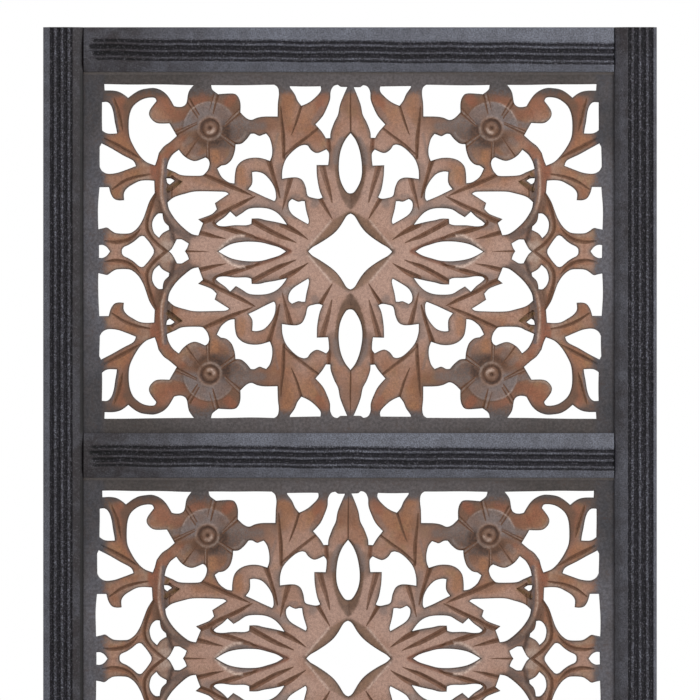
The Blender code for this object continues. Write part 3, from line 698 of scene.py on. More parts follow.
edge_gap = gap_to_openings(flat, 8)
height -= ARRIS_DROP * np.clip(1 - edge_gap / ARRIS, 0, 1) ** 1.6
# A dark line along every sawn edge: painted shade at the rim of each opening.
marks["edge"] = band(edge_gap, 0, 0.85)
marks["margin"] = 1 - faded(edge_gap, 0.5, 4.5)
marks["front"] = np.ones(len(flat))
print("the heights run from", round(float(height.min()), 2), "to", round(float(height.max()), 2), "mm")

# %% [markdown]
# ## Where the brush went, and the painted light and shade
#
# The boards were not stained evenly. Grey was rubbed over the flower and along some lower edges, and
# some leaves took a redder or more golden coat. Some strokes are painted light instead: dark brown
# painted shade where one part passes under another, along and beside the stem and under the boss, and
# thin pale painted highlights on some rims and ridges. Each stroke has a strength, half its width and a
# path in the quarter's drawing. The strokes are laid on in order, stain by stain where they don't
# touch. Last comes a pale bar between each pair of lines in a petal, a painted highlight on the lit
# side of the petal's V. Every point keeps the sum of its coats and how much they cover.

# %% Strokes of stain, painted shade and painted highlight
LIGHT = 0.62
PETAL_PAIRS = ((0, 1), (2, 3), (4, 5), (7, 8), (9, 10), (11, 12))


def seen(red, green, blue):
    """A colour as it looks on a screen, as what a shader takes for it in this studio's light."""
    values = [v / 255 for v in (red, green, blue)]
    return (*[LIGHT * (v / 12.92 if v <= 0.04045 else ((v + 0.055) / 1.055) ** 2.4) for v in values], 1.0)


STROKE_COLOURS = {
    "grey": seen(119, 105, 100), "slate": seen(100, 91, 92), "dusk": seen(94, 79, 73),
    "umber": seen(104, 76, 60), "rust": seen(143, 86, 62), "gold": seen(163, 112, 77),
    "olive": seen(104, 76, 30), "tan": seen(172, 145, 127), "blush": seen(190, 154, 137),
    "pale": seen(190, 176, 168), "bistre": seen(66, 45, 34),
}
# Dark strokes along and beside the stem and under the boss are painted shade; thin pale ones on rims and
# ridges are painted highlights.
STROKES_OF_STAIN_AND_PAINTED_LIGHT = [
    ("grey", [(0.3, 6, (74, 40), (80, 42)), (0.45, 4.6, (57.6, 46), (58.4, 58), (59, 70)),
        (0.5, 3, (43, 45.5), (47, 45.5)), (0.7, 2.6, (76, 37.4), (88, 35.4), (96, 31), (101, 32.5)),
        (0.75, 1.9, (84, 10), (90, 10.2), (98, 8.4), (105, 4.6)), (0.65, 6, (108, 22), (116, 22))]),
    ("blush", [(0.55, 12, (27, 25), (40, 20), (46, 10), (50, 3)), (0.25, 5, (3, 38), (12, 36), (14, 46)),
        (0.35, 6, (66, 12), (72, 16)), (0.4, 7, (116, 4), (129, 4)), (0.45, 7, (188, 3), (203, 5))]),
    ("rust", [(0.8, 3.2, (51, 0), (56, 2), (66, 6), (77, 10)), (0.7, 2.2, (18.3, 94), (18, 85))]),
    ("umber", [(0.74, 38, (106, 106), (122, 104)), (0.4, 18, (68, 108), (92, 118)),
        (0.25, 4, (157, 61), (158, 56)), (0.7, 3.4, (0, 42.4), (0, 37)), (0.4, 3, (3, 41.6), (7.6, 46)),
        (0.5, 6, (14, 84), (14.4, 70)), (0.3, 6, (60, 24), (74, 24))]),
    ("grey", [(0.6, 5, (29.8, 39), (27, 44)), (0.6, 5.5, (46, 33), (56.4, 33), (66, 37.5)),
        (0.55, 1.6, (60, 23.4), (68, 25.4), (75, 25.9)), (0.75, 4, (7, 92), (11.5, 83), (12.2, 74)),
        (0.75, 5.5, (73, 103.4), (79, 103.6), (86, 105)), (0.5, 1.6, (60, 97), (65, 78), (69, 76))]),
    ("gold", [(0.6, 6, (91, 66), (90.5, 58)), (0.7, 5.5, (112, 81), (112, 76)),
        (0.5, 6, (191, 93), (186, 86)), (0.5, 5, (172, 68), (184, 64)), (0.45, 5, (140, 89), (142, 85))]),
    ("blush", [(0.4, 9, (96, 46), (112, 48), (130, 53), (138, 54)), (0.6, 3.6, (164, 59.6), (171, 59)),
        (0.22, 7, (65, 14), (71, 14))]),
    ("tan", [(0.3, 5, (167, 70), (171, 66)), (0.4, 4, (190, 13), (201, 14)), (0.4, 3, (170, 72), (178, 70)),
        (0.15, 7, (101, 32), (107, 33))]),
    ("rust", [(0.3, 8, (157, 121), (152, 115)), (0.4, 6, (148, 114), (139, 113)),
        (0.4, 9, (158, 124), (152, 120)), (0.5, 5, (139, 92), (147, 86), (153, 78)),
        (0.9, 4, (163.4, 70), (163.6, 61)), (0.85, 3, (158.4, 78), (159.6, 68), (160, 56), (160, 46)),
        (0.6, 3.5, (163, 46), (163.5, 38))]),
    ("umber", [(0.6, 6, (184, 108), (183, 100)),
        (0.9, 7, (103, 106), (102, 95), (110, 90), (120, 90), (127, 94)), (0.45, 4, (156, 90), (161, 80)),
        (0.85, 5, (160.6, 44), (159.4, 38), (158.6, 33)), (0.35, 5, (67, 73), (69, 79))]),
    ("dusk", [(0.85, 11, (92, 135), (110, 135), (134, 133)), (0.75, 9, (0, 138), (24, 136), (60, 137)),
        (0.85, 8.5, (100, 98), (104, 92), (112, 91)), (0.5, 2, (166, 20), (164, 13))]),
    ("grey", [(0.9, 9, (87, 96), (90, 106), (97, 101)), (0.85, 4, (134, 107), (141, 104.6), (148, 103.4)),
        (0.5, 4, (133, 92), (137, 88.5)), (0.6, 2.4, (119, 80), (124, 77.6), (131, 77.4)),
        (0.5, 5, (127, 86), (130, 81)), (0.4, 4, (112, 57), (122, 60))]),
    ("tan", [(0.7, 1.5, (149, 107), (158, 107), (164.6, 110), (166, 115)),
        (0.7, 1.4, (168, 61.6), (173, 60.6), (178, 58.4)), (0.5, 4, (165.6, 19), (163, 13)),
        (0.5, 1.1, (164.6, 28), (165.6, 22), (164, 16.5)), (0.24, 7, (138, 84), (142, 88)),
        (0.38, 5, (128, 75), (132, 77)), (0.22, 6, (164, 14), (168, 13))]),
    ("gold", [(0.5, 7, (52, 127), (50, 118), (54, 110)), (0.4, 8, (33, 117), (38, 110)),
        (0.3, 7, (108, 57), (126, 58))]),
    ("rust", [(0.55, 5, (23, 128), (26, 122)), (0.85, 6, (98, 127), (101, 123)),
        (0.6, 6, (189, 124), (187, 112)), (0.55, 6, (122, 126), (131, 122)),
        (0.3, 9, (185, 100), (182, 90)), (0.3, 7, (19, 128), (24, 117))]),
    ("umber", [(0.25, 6, (3, 112), (3, 124)), (0.9, 6, (153, 131), (166, 132), (178, 128), (184.6, 120)),
        (0.75, 5, (184.6, 118), (184, 104)), (0.35, 8, (56, 109), (60, 116)),
        (0.2, 7, (174, 67), (179, 70)), (0.17, 8, (48, 122), (54, 122)), (0.2, 6, (3, 118), (3, 127)),
        (0.2, 7, (20, 130), (25, 129))]),
    ("dusk", [(1.0, 10, (191, 136), (205, 129)), (0.35, 9, (88, 95), (97, 104)),
        (0.6, 6, (100, 99), (98, 92), (102, 89))]),
    ("slate", [(0.6, 1.5, (199, 126), (196, 120), (194.2, 110), (193, 101)),
        (0.9, 2.4, (153, 75.4), (153.4, 66), (153.6, 55), (153, 45), (150.8, 36), (147, 28.5))]),
    ("dusk", [(0.85, 5, (151.6, 32), (150, 25), (145.4, 19), (139, 14.4), (134, 12.2)),
        (0.9, 3, (148.6, 18.6), (148, 12.6), (146.4, 7)), (0.9, 3.8, (150.4, 50.4), (151, 45))]),
    ("olive", [(1.0, 2.4, (141, 57.2), (147, 54), (151, 51.6)), (0.9, 1.8, (148.6, 66), (151, 62.4)),
        (0.26, 4.4, (2, 29.4), (7, 27), (14, 20.4), (21, 13), (28, 6)),
        (0.5, 1.8, (164.6, 44), (166, 38))]),
    ("tan", [(0.6, 1.2, (167, 42), (168.9, 33), (170.4, 27)), (0.6, 3.6, (151.4, 14), (154.6, 9)),
        (0.75, 7, (142, 3), (156, 3.6)), (0.2, 8, (184, 58), (197, 57)), (0.22, 5, (146, 31), (150, 33))]),
    ("grey", [(0.6, 2.2, (98.6, 86), (99.6, 79), (104, 74)), (0.4, 2.6, (24, 118), (31, 106))]),
    ("bistre", [(0.95, 6.4, (104.4, 104), (103.4, 100), (103.4, 96), (105.9, 97.6),
         (108.6, 93.4), (112.8, 90.7), (116.7, 90), (120.6, 90.7), (125, 94)),
        (0.16, 11, (108, 123), (114, 129), (124, 132)), (0.15, 9, (154, 130), (162, 131))]),
    ("dusk", [(0.27, 7, (145, 14), (151, 13)), (0.22, 9, (127, 104), (134, 104))]),
    ("pale", [(0.3, 1.0, (86.4, 98), (88.4, 94.4), (92, 91.8), (96.6, 91.4)), (0.27, 7, (144, 3), (152, 4)),
        (0.22, 6, (48, 31), (52, 33))]),
    ("umber", [(0.35, 10, (184, 100), (184, 114)), (0.27, 8, (158, 47), (158, 61)),
        (0.3, 5, (49, 38), (51, 42))]),
    ("bistre", [(0.2, 10, (88, 97), (98, 95), (104, 90), (104, 84)), (0.18, 9, (193, 119), (196, 132)),
        (0.13, 7, (174, 129), (180, 129)),
        (0.55, 1.7, (151.2, 43), (149.8, 37), (147, 30.4), (142.3, 23.4), (136, 17.2), (128.9, 12.4))]),
    ("tan", [(0.32, 4, (165, 56), (167, 61)),
        (0.28, 1.5, (155.6, 46), (155.1, 41.4), (152.9, 33.2), (149.4, 26), (144.4, 20))]),
    ("gold", [(0.6, 1.2, (166.6, 40), (168.6, 33)), (0.17, 7, (119, 93), (125, 95))]),
    ("bistre", [(0.45, 1.9, (157.6, 41), (155.3, 32.4), (151.6, 24.6), (148.3, 19.7)),
        (0.8, 2.0, (148.3, 19), (146.6, 13), (145.3, 7))]),
    ("dusk", [(0.27, 9, (73, 104), (80, 104))]),
]
# The pale bars between paired petal lines are painted highlight, on the lit side of each petal's V.
bars = [(petal_cuts[one], petal_cuts[other]) for one, other in PETAL_PAIRS]
bars = [[((a[0] + b[0]) / 2, (a[1] + b[1]) / 2) for a, b in zip(*pair)] for pair in bars]
STROKES_OF_STAIN_AND_PAINTED_LIGHT.append(("pale", [(0.28, 1.2, *bar) for bar in bars]))
stain_and_painted_light = np.zeros((len(flat), 4))
for stain, strokes in STROKES_OF_STAIN_AND_PAINTED_LIGHT:
    for strength, half, *points in strokes:
        path = curve(points, 3.0)
        some = near(flat, path, half)
        cover = strength * (1 - faded(gap_to(flat[some], path)[0], 0.3 * half, half))
        stain_and_painted_light[some] *= 1 - cover[:, None]
        stain_and_painted_light[some] += cover[:, None] * np.array(STROKE_COLOURS[stain])
marks["cover"] = stain_and_painted_light[:, 3]
print(sum(len(strokes) for _, strokes in STROKES_OF_STAIN_AND_PAINTED_LIGHT), "strokes in", len(STROKE_COLOURS), "stains")

# %% [markdown]
# ## Solid boards from one quarter
#
# The front's open edges are carried back to the board's back face as walls, and the back is closed
# with its own plain triangles. The quarter is then turned over into all four, and a slow wander of
# a quarter of a millimetre is laid over the whole board, as no two quarters come out the same by hand.
# Nor does the carver centre the drawing on the board: it slips by a millimetre or so.

# %% Close the quarter
TOUCHING = 1e-4
directed = np.vstack([front_faces[:, pair] for pair in ([0, 1], [1, 2], [2, 0])]).astype(np.int64)
keys = directed[:, 0] * len(flat) + directed[:, 1]
twins = directed[:, 1] * len(flat) + directed[:, 0]
border = directed[~np.isin(keys, twins)]
rim_points = np.unique(border)
back_of = np.full(len(flat), -1)
back_of[rim_points] = len(flat) + np.arange(len(rim_points))
on_centre_line = (flat[border] < TOUCHING).all(1).any(1)
walls = border[~on_centre_line]
wall_faces = np.vstack([
    np.stack([walls[:, 1], walls[:, 0], back_of[walls[:, 0]]], 1),
    np.stack([walls[:, 1], back_of[walls[:, 0]], back_of[walls[:, 1]]], 1),
])
spots = [Vector(p) for p in flat[rim_points].tolist()]
number_of = {int(point): number for number, point in enumerate(rim_points)}
rim_edges = [(number_of[int(a)], number_of[int(b)]) for a, b in border]
found, _, back_faces, back_from, *_ = delaunay_2d_cdt(spots, rim_edges, [], 0, 1e-5)
found = np.array([tuple(p) for p in found])
back_faces = np.array(back_faces)
back_faces = back_faces[in_wood(found[back_faces].mean(1))]
source = np.array([back_of[rim_points[origin[0]]] for origin in back_from])
back_faces = source[back_faces][:, ::-1]
print(len(found) - len(spots), "points added on the back,", len(walls), "wall strips")

# %% Turn it over into four
WANDER, WANDER_SIZE = 0.25, 34
HOLLOWS, HOLLOW_SIZE = 0.14, 19
WAVES = 6
depth = np.concatenate([BOARD_FRONT - height, np.full(len(rim_points), BOARD_BACK)])
across_up = np.vstack([flat, flat[rim_points]])
quarter = np.column_stack([across_up[:, 0], depth, across_up[:, 1]])
quarter_faces = np.vstack([front_faces, wall_faces, back_faces])
marks["stain_and_painted_light"] = stain_and_painted_light
point_marks = {name: np.concatenate([values, np.zeros((len(rim_points), *values.shape[1:]))])
               for name, values in marks.items()}


def wander(across, up, size, seed):
    """A slow even drift between about -1 and 1 over the board, the same on every run."""
    dice = np.random.default_rng(seed)
    drift = np.zeros(len(across))
    for _ in range(WAVES):
        bearing, phase = dice.uniform(0, math.tau, 2)
        pace = math.tau / (size * dice.uniform(0.7, 1.6))
        drift += np.sin(pace * (across * math.cos(bearing) + up * math.sin(bearing)) + phase)
    return drift / 3.2


def board_points(seed, slip):
    """All points and faces of a board in millimetres about its own centre, and its marks."""
    points, faces = [], []
    for side, level in ((1, 1), (-1, 1), (-1, -1), (1, -1)):
        turned = quarter_faces if side * level > 0 else quarter_faces[:, ::-1]
        faces.append(turned + len(points) * len(quarter))
        points.append(quarter * (side, 1, level))
    points, faces = np.vstack(points), np.vstack(faces)
    _, first, number = np.unique(np.round(points, 4), axis=0, return_index=True, return_inverse=True)
    points, faces = points[first], number.reshape(-1)[faces]
    named = {name: np.concatenate([values] * 4)[first] for name, values in point_marks.items()}
    across, up = points[:, 0].copy(), points[:, 2].copy()
    beyond = np.maximum(abs(across) - CARVED_WIDE, abs(up) - CARVED_HIGH)
    free = 1 - faded(beyond, -1, 7)
    points[:, 0] += free * (slip[0] + WANDER * wander(across, up, WANDER_SIZE, seed))
    points[:, 2] += free * (slip[1] + slip[2] * up + WANDER * wander(across, up, WANDER_SIZE, seed + 1))
    points[:, 1] += HOLLOWS * free * named["front"] * wander(across, up, HOLLOW_SIZE, seed + 2)
    return points, faces, named


# %% [markdown]
# The piece keeps its marks as attributes, one value at each point, which its material reads later.
# Those that follow the board and not the drawing are added here: how near a point is to the border
# that the frame's black ran over, how far out and how far into a corner it lies, whether the border
# is an upright one, and how far it is below the rail.

# %% Make the two boards
# A slip is how far the drawing went across and up, and by what share it was stretched upward.
SHARP = 38
SLIP = {"upper": (0.35, 1.0, 0.003), "lower": (-1.6, -0.3, 0.005)}
BAY_HALF = 149.5
BORDER_FROM = (204.5, 135)
OVAL = (207, 138)


def new_piece(name, points, faces, named, mend=False):
    """A shown piece from points in metres, smooth but for its sharp edges, with its marks."""
    mesh = bpy.data.meshes.new(name)
    mesh.from_pydata(points.tolist(), [], faces)
    if mend:
        shape = bmesh.new()
        shape.from_mesh(mesh)
        bmesh.ops.recalc_face_normals(shape, faces=shape.faces)
        shape.to_mesh(mesh)
        shape.free()
    mesh.shade_smooth()
    mesh.set_sharp_from_angle(angle=math.radians(SHARP))
    for mark, values in named.items():
        kind, field = ("FLOAT_COLOR", "color") if values.ndim == 2 else ("FLOAT", "value")
        stored = mesh.attributes.new(mark, kind, "POINT").data
        stored.foreach_set(field, values.astype(np.float32).ravel())
    return shown(name, mesh)


boards = []
for seed, bay in ((11, "upper"), (23, "lower")):
    low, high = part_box("carved_board_" + bay)
    points, faces, named = board_points(seed, SLIP[bay])
    across, up = points[:, 0], points[:, 2]
    from_centre = np.hypot(across / OVAL[0], up / OVAL[1])
    named["border"] = faded(np.maximum(abs(across) - BORDER_FROM[0], abs(up) - BORDER_FROM[1]), -10, 4)
    named["outward"] = faded(from_centre, 0.35, 1.0)
    named["corner"] = faded(from_centre, 1.0, 1.35)
    named["side"] = faded(abs(across), 201, 206)
    named["below_rail"] = BAY_HALF - up
    placed = points / 1000 + ((low.x + high.x) / 2, 0, (low.z + high.z) / 2)
    boards.append(new_piece("carving_" + bay, placed, faces.tolist(), named))
    print(boards[-1].name, len(boards[-1].data.polygons), "triangles")

# %% [markdown]
# ## The frame's members
#
# A joiner planes a blank for each stile and rail, with a groove for the boards, and then runs the
# flutes down its face. The same two steps are taken here. The blank is a closed section drawn out
# along the member, with its face divided finely. The flutes follow a rule, so Geometry Nodes cut
# them, and one tree serves all five members. Its inputs are what a joiner would be told. The stiles'
# faces are a little wider than the measured solids', the right one more than the left, and the rails
# are shorter by the same.

# %% Plane the blanks
GROOVE_DEPTH = 8.0
WIDENED = {-1: 1.3, 1: 3.2}
GROOVE_NEAR = BOARD_FRONT - 0.05
GROOVE_FAR = BOARD_BACK + 0.3
FACE = front_plane * 1000
EDGE_DROP = 3.0
FACE_STEP = 0.4
LENGTH_STEP = 3.0
BOX_SIDES = [(0, 1, 3, 2), (4, 6, 7, 5), (0, 4, 5, 1), (2, 3, 7, 6), (0, 2, 6, 4), (1, 5, 7, 3)]


def face_line(width, strip, flutes_end, soft_start, soft_end):
    """The face from edge to edge: it rises to the flutes, runs level and falls, with softened arrises."""
    across = np.linspace(0, width, round(width / FACE_STEP) + 1)
    level = np.interp(across, [0, strip, flutes_end, width], [EDGE_DROP, 0, 0, EDGE_DROP])
    for soft, from_edge in ((soft_start, across), (soft_end, width - across)):
        level += soft * np.clip(1 - from_edge / (1.6 * soft), 0, 1) ** 2
    return [(float(a), FACE + float(drop)) for a, drop in zip(across, level)]


def groove(edge, inward, depth=GROOVE_DEPTH):
    """The corners of the groove in one edge, from the front to the back."""
    floor = edge + inward * depth
    return [(edge, GROOVE_NEAR), (floor, GROOVE_NEAR), (floor, GROOVE_FAR), (edge, GROOVE_FAR)]


def drawn_out(section, faced, start, length, place):
    """A closed section carried along the member. place puts (across, depth, along) in the room."""
    stops = np.linspace(0, length, round(length / LENGTH_STEP) + 1)
    count = len(section)
    points = np.array([place(across, deep, start + stop) for stop in stops for across, deep in section])
    here = np.arange(count)
    after = np.roll(here, -1)
    strip = np.column_stack([here, after, after + count, here + count])
    faces = np.vstack([strip + r * count for r in range(len(stops) - 1)]).tolist()
    cap = tessellate_polygon([[Vector((a, d, 0)) for a, d in section]])
    last = (len(stops) - 1) * count
    faces += [list(three) for three in cap] + [[last + n for n in reversed(three)] for three in cap]
    named = {
        "across": np.tile([across for across, _ in section], len(stops)) / 1000,
        "along": np.repeat(stops, count) / 1000,
        "face": np.tile(here < faced, len(stops)).astype(float),
    }
    return points, faces, named


def blank(name, section, faced, start, length, place, marks_at, tenons=()):
    """A member's plain blank with its tenons. marks_at gives the marks for its finish at its points, on the
    rails a painted sheen among them.
    """
    points, faces, named = drawn_out(section, faced, start, length, place)
    for corner in range(len(points), len(points) + len(tenons), 8):
        faces += [[corner + n for n in four] for four in BOX_SIDES]
    points = np.vstack([points, *tenons])
    named = {mark: np.append(values, np.zeros(len(tenons))) for mark, values in named.items()}
    return new_piece(name, points / 1000, faces, {**named, **marks_at(points)}, mend=True)


print("the face stands", round(GROOVE_NEAR - FACE, 2), "mm in front of the groove")

# %% [markdown]
# Each member's own numbers follow. The right stile has wider flutes than the left, and the rails
# begin with a broad flat strip and a narrow flute. The marks steer the stain: one is how grey the
# black turned, and on the rails also a painted sheen, "joint" is where dirt gathered along a joint,
# and "fluted" where the flutes are. The rails are painted lighter to the right, and on their upper
# strips towards the right, as sheen. The stiles are a little darker towards the top, and the joint's
# dirt is thinner where a stile meets a rail.

# %% Shape the stiles
FLUTES = 4
LEFT = {"First Strip": 5.2, "First Width": 3.95, "Pitch": 5.65, "Width": 3.95, "Last Width": 2.4,
        "Depth": 1.7, "Drift": 0.0, "Waver": 0.9, "Run Out": 0.0}
RIGHT = {**LEFT, "First Strip": 2.7, "First Width": 4.5, "Pitch": 6.1, "Width": 4.5, "Last Width": 3.3}
RAILS = ("rail_top", "rail_middle", "rail_bottom")
SOFT_OUTSIDE, SOFT_INSIDE = 0.5, 0.7
rail_reach = [[corner.z * 1000 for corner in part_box(rail)] for rail in RAILS]


def last_flute_end(flutes):
    """How far from the outer edge the flutes end."""
    return flutes["First Strip"] + (FLUTES - 1) * flutes["Pitch"] + flutes["Last Width"]


def fluted_share(across, share_along, flutes):
    """1 among the flutes, falling to 0 on the flat strips beside them."""
    across = across - (share_along - 0.5) * flutes["Drift"]
    start, end = flutes["First Strip"], last_flute_end(flutes)
    return faded(across, start - 0.5, start + 0.5) * (1 - faded(across, end - 0.5, end + 0.5))


def beside_rail(up):
    """1 where the end of a rail stands beside the stile."""
    return sum(faded(up, low - 1, low + 1) * (1 - faded(up, top - 1, top + 1)) for low, top in rail_reach)


def stile(name, side, flutes, inner_tone):
    """A stile's blank. The side is -1 for the left one and 1 for the right one."""
    low, high = (corner * 1000 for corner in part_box(name))
    width = high.x - low.x + WIDENED[side]
    outer = low.x if side < 0 else high.x
    end = last_flute_end(flutes)
    face = face_line(width, flutes["First Strip"], end, SOFT_OUTSIDE, SOFT_INSIDE)
    section = face + groove(width, -1, GROOVE_DEPTH + WIDENED[side]) + [(width, 0.0), (0.0, 0.0)]

    def place(across, depth, along):
        return outer - side * across, depth, along

    def marks_at(points):
        across, up = np.abs(points[:, 0] - outer), points[:, 2]
        grey_and_sheen = 0.5 + (inner_tone - 0.5) * faded(across, end - 4, end + 1)
        grey_and_sheen += 0.07 * np.clip((100 - up) / 180, -1, 1)
        hard, soft = faded(across, width - 3.5, width - 2.1), 0.4 * faded(across, width - 6, width - 3)
        joint = (hard if side < 0 else soft) * (1 - 0.6 * beside_rail(up))
        return {"grey_and_sheen": grey_and_sheen, "joint": joint, "fluted": fluted_share(across, 0.5, flutes)}

    blank_name = name.replace("stile", "upright")
    return blank(blank_name, section, len(face), low.z, high.z - low.z, place, marks_at)


members = {
    "stile_left": (stile("stile_left", -1, LEFT, 0.0), LEFT),
    "stile_right": (stile("stile_right", 1, RIGHT, 0.2), RIGHT),
}
print({name: len(piece.data.vertices) for name, (piece, _) in members.items()})

# %% Shape the rails
RAIL = {**LEFT, "First Strip": 10.4, "First Width": 3.1, "Pitch": 5.6, "Width": 4.4, "Last Width": 2.5,
        "Drift": 4.0, "Waver": 2.4, "Run Out": 8.5}
TENON_OVERLAP = 2
TENON_CLEAR = 1
TENON_INSET = 0.2


def rail(name):
    """A rail's blank with its stub tenons. It has a groove in each edge that faces a board."""
    low, high = (corner * 1000 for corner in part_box(name))
    width = high.z - low.z
    board_above, board_below = name != RAILS[0], name != RAILS[-1]
    face = face_line(width, RAIL["First Strip"], last_flute_end(RAIL), 0.3 if board_above else 0.7, 0.3)
    section = face + (groove(width, -1) if board_below else []) + [(width, 0.0), (0.0, 0.0)]
    section += groove(0.0, 1)[::-1] if board_above else []
    left, right = (high.x - GROOVE_DEPTH - WIDENED[side] for side in (-1, 1))
    top = high.z - (GROOVE_DEPTH + TENON_CLEAR if board_above else TENON_INSET)
    bottom = low.z + (GROOVE_DEPTH + TENON_CLEAR if board_below else TENON_INSET)
    tenons = [(side * x, y, z) for side, shoulder in ((-1, left), (1, right))
              for x in (shoulder - TENON_OVERLAP, high.x)
              for y in (BOARD_FRONT, BOARD_BACK) for z in (bottom, top)]

    def place(across, depth, along):
        return along, depth, high.z - across

    def marks_at(points):
        along, across = points[:, 0] + left, high.z - points[:, 2]
        # Painted sheen: the rails lighter to the right, their upper strip lighter still there and darker at
        # the left end.
        sheen_rightward = faded(points[:, 0], -215, -60)
        upper = 1 - faded(across, 12, 22)
        fluted = 0.75 * fluted_share(across, along / (left + right), RAIL) * faded(along, 2, 7)
        grey_and_sheen = 0.11 + 0.46 * sheen_rightward + upper * (0.13 * sheen_rightward - 0.07 * (1 - sheen_rightward))
        return {"grey_and_sheen": grey_and_sheen, "joint": 0.2 * (1 - faded(along, 0.2, 1.6)), "fluted": fluted}

    blank_name = name.replace("rail", "cross")
    return blank(blank_name, section, len(face), -left, left + right, place, marks_at, tenons)


members.update({name: (rail(name), RAIL) for name in RAILS})
print({name: len(members[name][0].data.vertices) for name in RAILS})

# %% [markdown]
# ## The flutes, as a rule
#
# Flute number n starts one pitch after flute n - 1. Inside a flute the surface sinks in a round bowl,
# and between two flutes a thin crest is left. The first and the last flute have widths of their own:
# the last is only a narrow quirk, and on the rails the first is narrow too. By hand the plane wanders
# and lifts: the tree adds a slow waver, a drift along the rail, uneven crests, and on the rails a run
# out where each flute fades before the left joint.
#
# In a node tree every sum is a node. The class below lets them be written as sums.

# %% Sums in a node tree
def feed(tree, node, inputs):
    """Fills a node's inputs, by name or by number, with plain values or other nodes' results."""
    for key, value in inputs.items():
        value = getattr(value, "socket", value)
        if isinstance(value, bpy.types.NodeSocket):
            tree.links.new(value, node.inputs[key])
        else:
            node.inputs[key].default_value = value


def add_node(tree, kind, inputs=None, **settings):
    """A new node with its settings and its inputs."""
    made = tree.nodes.new(kind)
    for name, value in settings.items():
        setattr(made, name, value)
    feed(tree, made, inputs or {})
    return made


class Value:
    """A number on its way through a node tree. Every sum with it adds a Math node."""

    def __init__(self, tree, socket):
        self.tree, self.socket = tree, socket

    def step(self, operation, *others):
        """The result of a Math node that takes this value first."""
        node = add_node(self.tree, "ShaderNodeMath", dict(enumerate((self, *others))), operation=operation)
        return Value(self.tree, node.outputs[0])

    def __add__(self, other):
        return self.step("ADD", other)

    def __sub__(self, other):
        return self.step("SUBTRACT", other)

    def __rsub__(self, other):
        return self.step("MULTIPLY_ADD", -1, other)

    def __mul__(self, other):
        return self.step("MULTIPLY", other)

    def __truediv__(self, other):
        return self.step("DIVIDE", other)

    def equals(self, other):
        """1 where the two whole numbers are the same, or else 0."""
        return self.step("COMPARE", other, 0.1)

    def held(self):
        """This sum, held between 0 and 1."""
        self.socket.node.use_clamp = True
        return self

    def spread(self, low, high, start=0.0, end=1.0):
        """From the start where the value is low to the end where it is high, smooth between them."""
        inputs = {"Value": self, "From Min": low, "From Max": high, "To Min": start, "To Max": end}
        node = add_node(self.tree, "ShaderNodeMapRange", inputs, interpolation_type="SMOOTHSTEP")
        return Value(self.tree, node.outputs[0])


def uneven(x, y, pace, detail=1.0):
    """Smooth noise around zero, between about -0.5 and 0.5, over two directions."""
    spot = add_node(x.tree, "ShaderNodeCombineXYZ", {"X": x, "Y": y}).outputs[0]
    noise = add_node(x.tree, "ShaderNodeTexNoise", {"Vector": spot, "Scale": pace, "Detail": detail},
                     noise_dimensions="2D")
    return Value(x.tree, noise.outputs[0]) - 0.5


# %% The tree that runs the flutes
FLUTE_INPUTS = {
    "NodeSocketInt": ("Flutes", "Seed"),
    "NodeSocketFloat": ("First Strip", "First Width", "Pitch", "Width", "Last Width", "Depth", "Run Out",
                        "Drift", "Waver", "Length"),
    "NodeSocketMaterial": ("Finish",),
}
ROUNDNESS = 0.9
DIP = 0.0012
CHATTER = 0.00035
RUN_OUT_SHARE = 0.2
CREST_SEED = 9.7
TINY = 0.00001


def flute_depth(asked, across, along):
    """How deep the plane went at a point, with two marks: how hollow the place is and how low a crest."""
    waver = uneven(along, asked["Seed"], 24.0, 3.0) * asked["Waver"]
    drift = (along / asked["Length"] - 0.5) * asked["Drift"]
    place = across - asked["First Strip"] - (waver + drift)
    last = asked["Flutes"] - 1
    number = (place / asked["Pitch"]).step("FLOOR").step("MAXIMUM", 0).step("MINIMUM", last)
    later = number.equals(0) * (asked["Width"] - asked["First Width"])
    width = asked["Width"] + number.equals(last) * (asked["Last Width"] - asked["Width"]) - later

    inside = (place - (number * asked["Pitch"] + later)) / width
    bowl = (inside * 4 * (1 - inside)).step("MAXIMUM", 0).step("POWER", ROUNDNESS)
    bowl = bowl * (width / asked["Width"])
    dice = add_node(along.tree, "FunctionNodeRandomValue",
                    {"Min": 0.5, "Max": 1.0, "ID": number, "Seed": asked["Seed"]}, data_type="FLOAT")
    start = Value(along.tree, dice.outputs["Value"]) * asked["Run Out"]
    reach = asked["Run Out"] * RUN_OUT_SHARE + TINY
    bowl = bowl * ((along - start + 10 * TINY) / reach).held()

    dip = uneven(along, number * CREST_SEED + asked["Seed"], 150.0).step("MAXIMUM", 0)
    chatter = uneven(along, across * 3, 420.0) + 0.5
    return bowl * asked["Depth"] + dip * DIP + chatter * CHATTER, {"flute": bowl, "dip": dip}


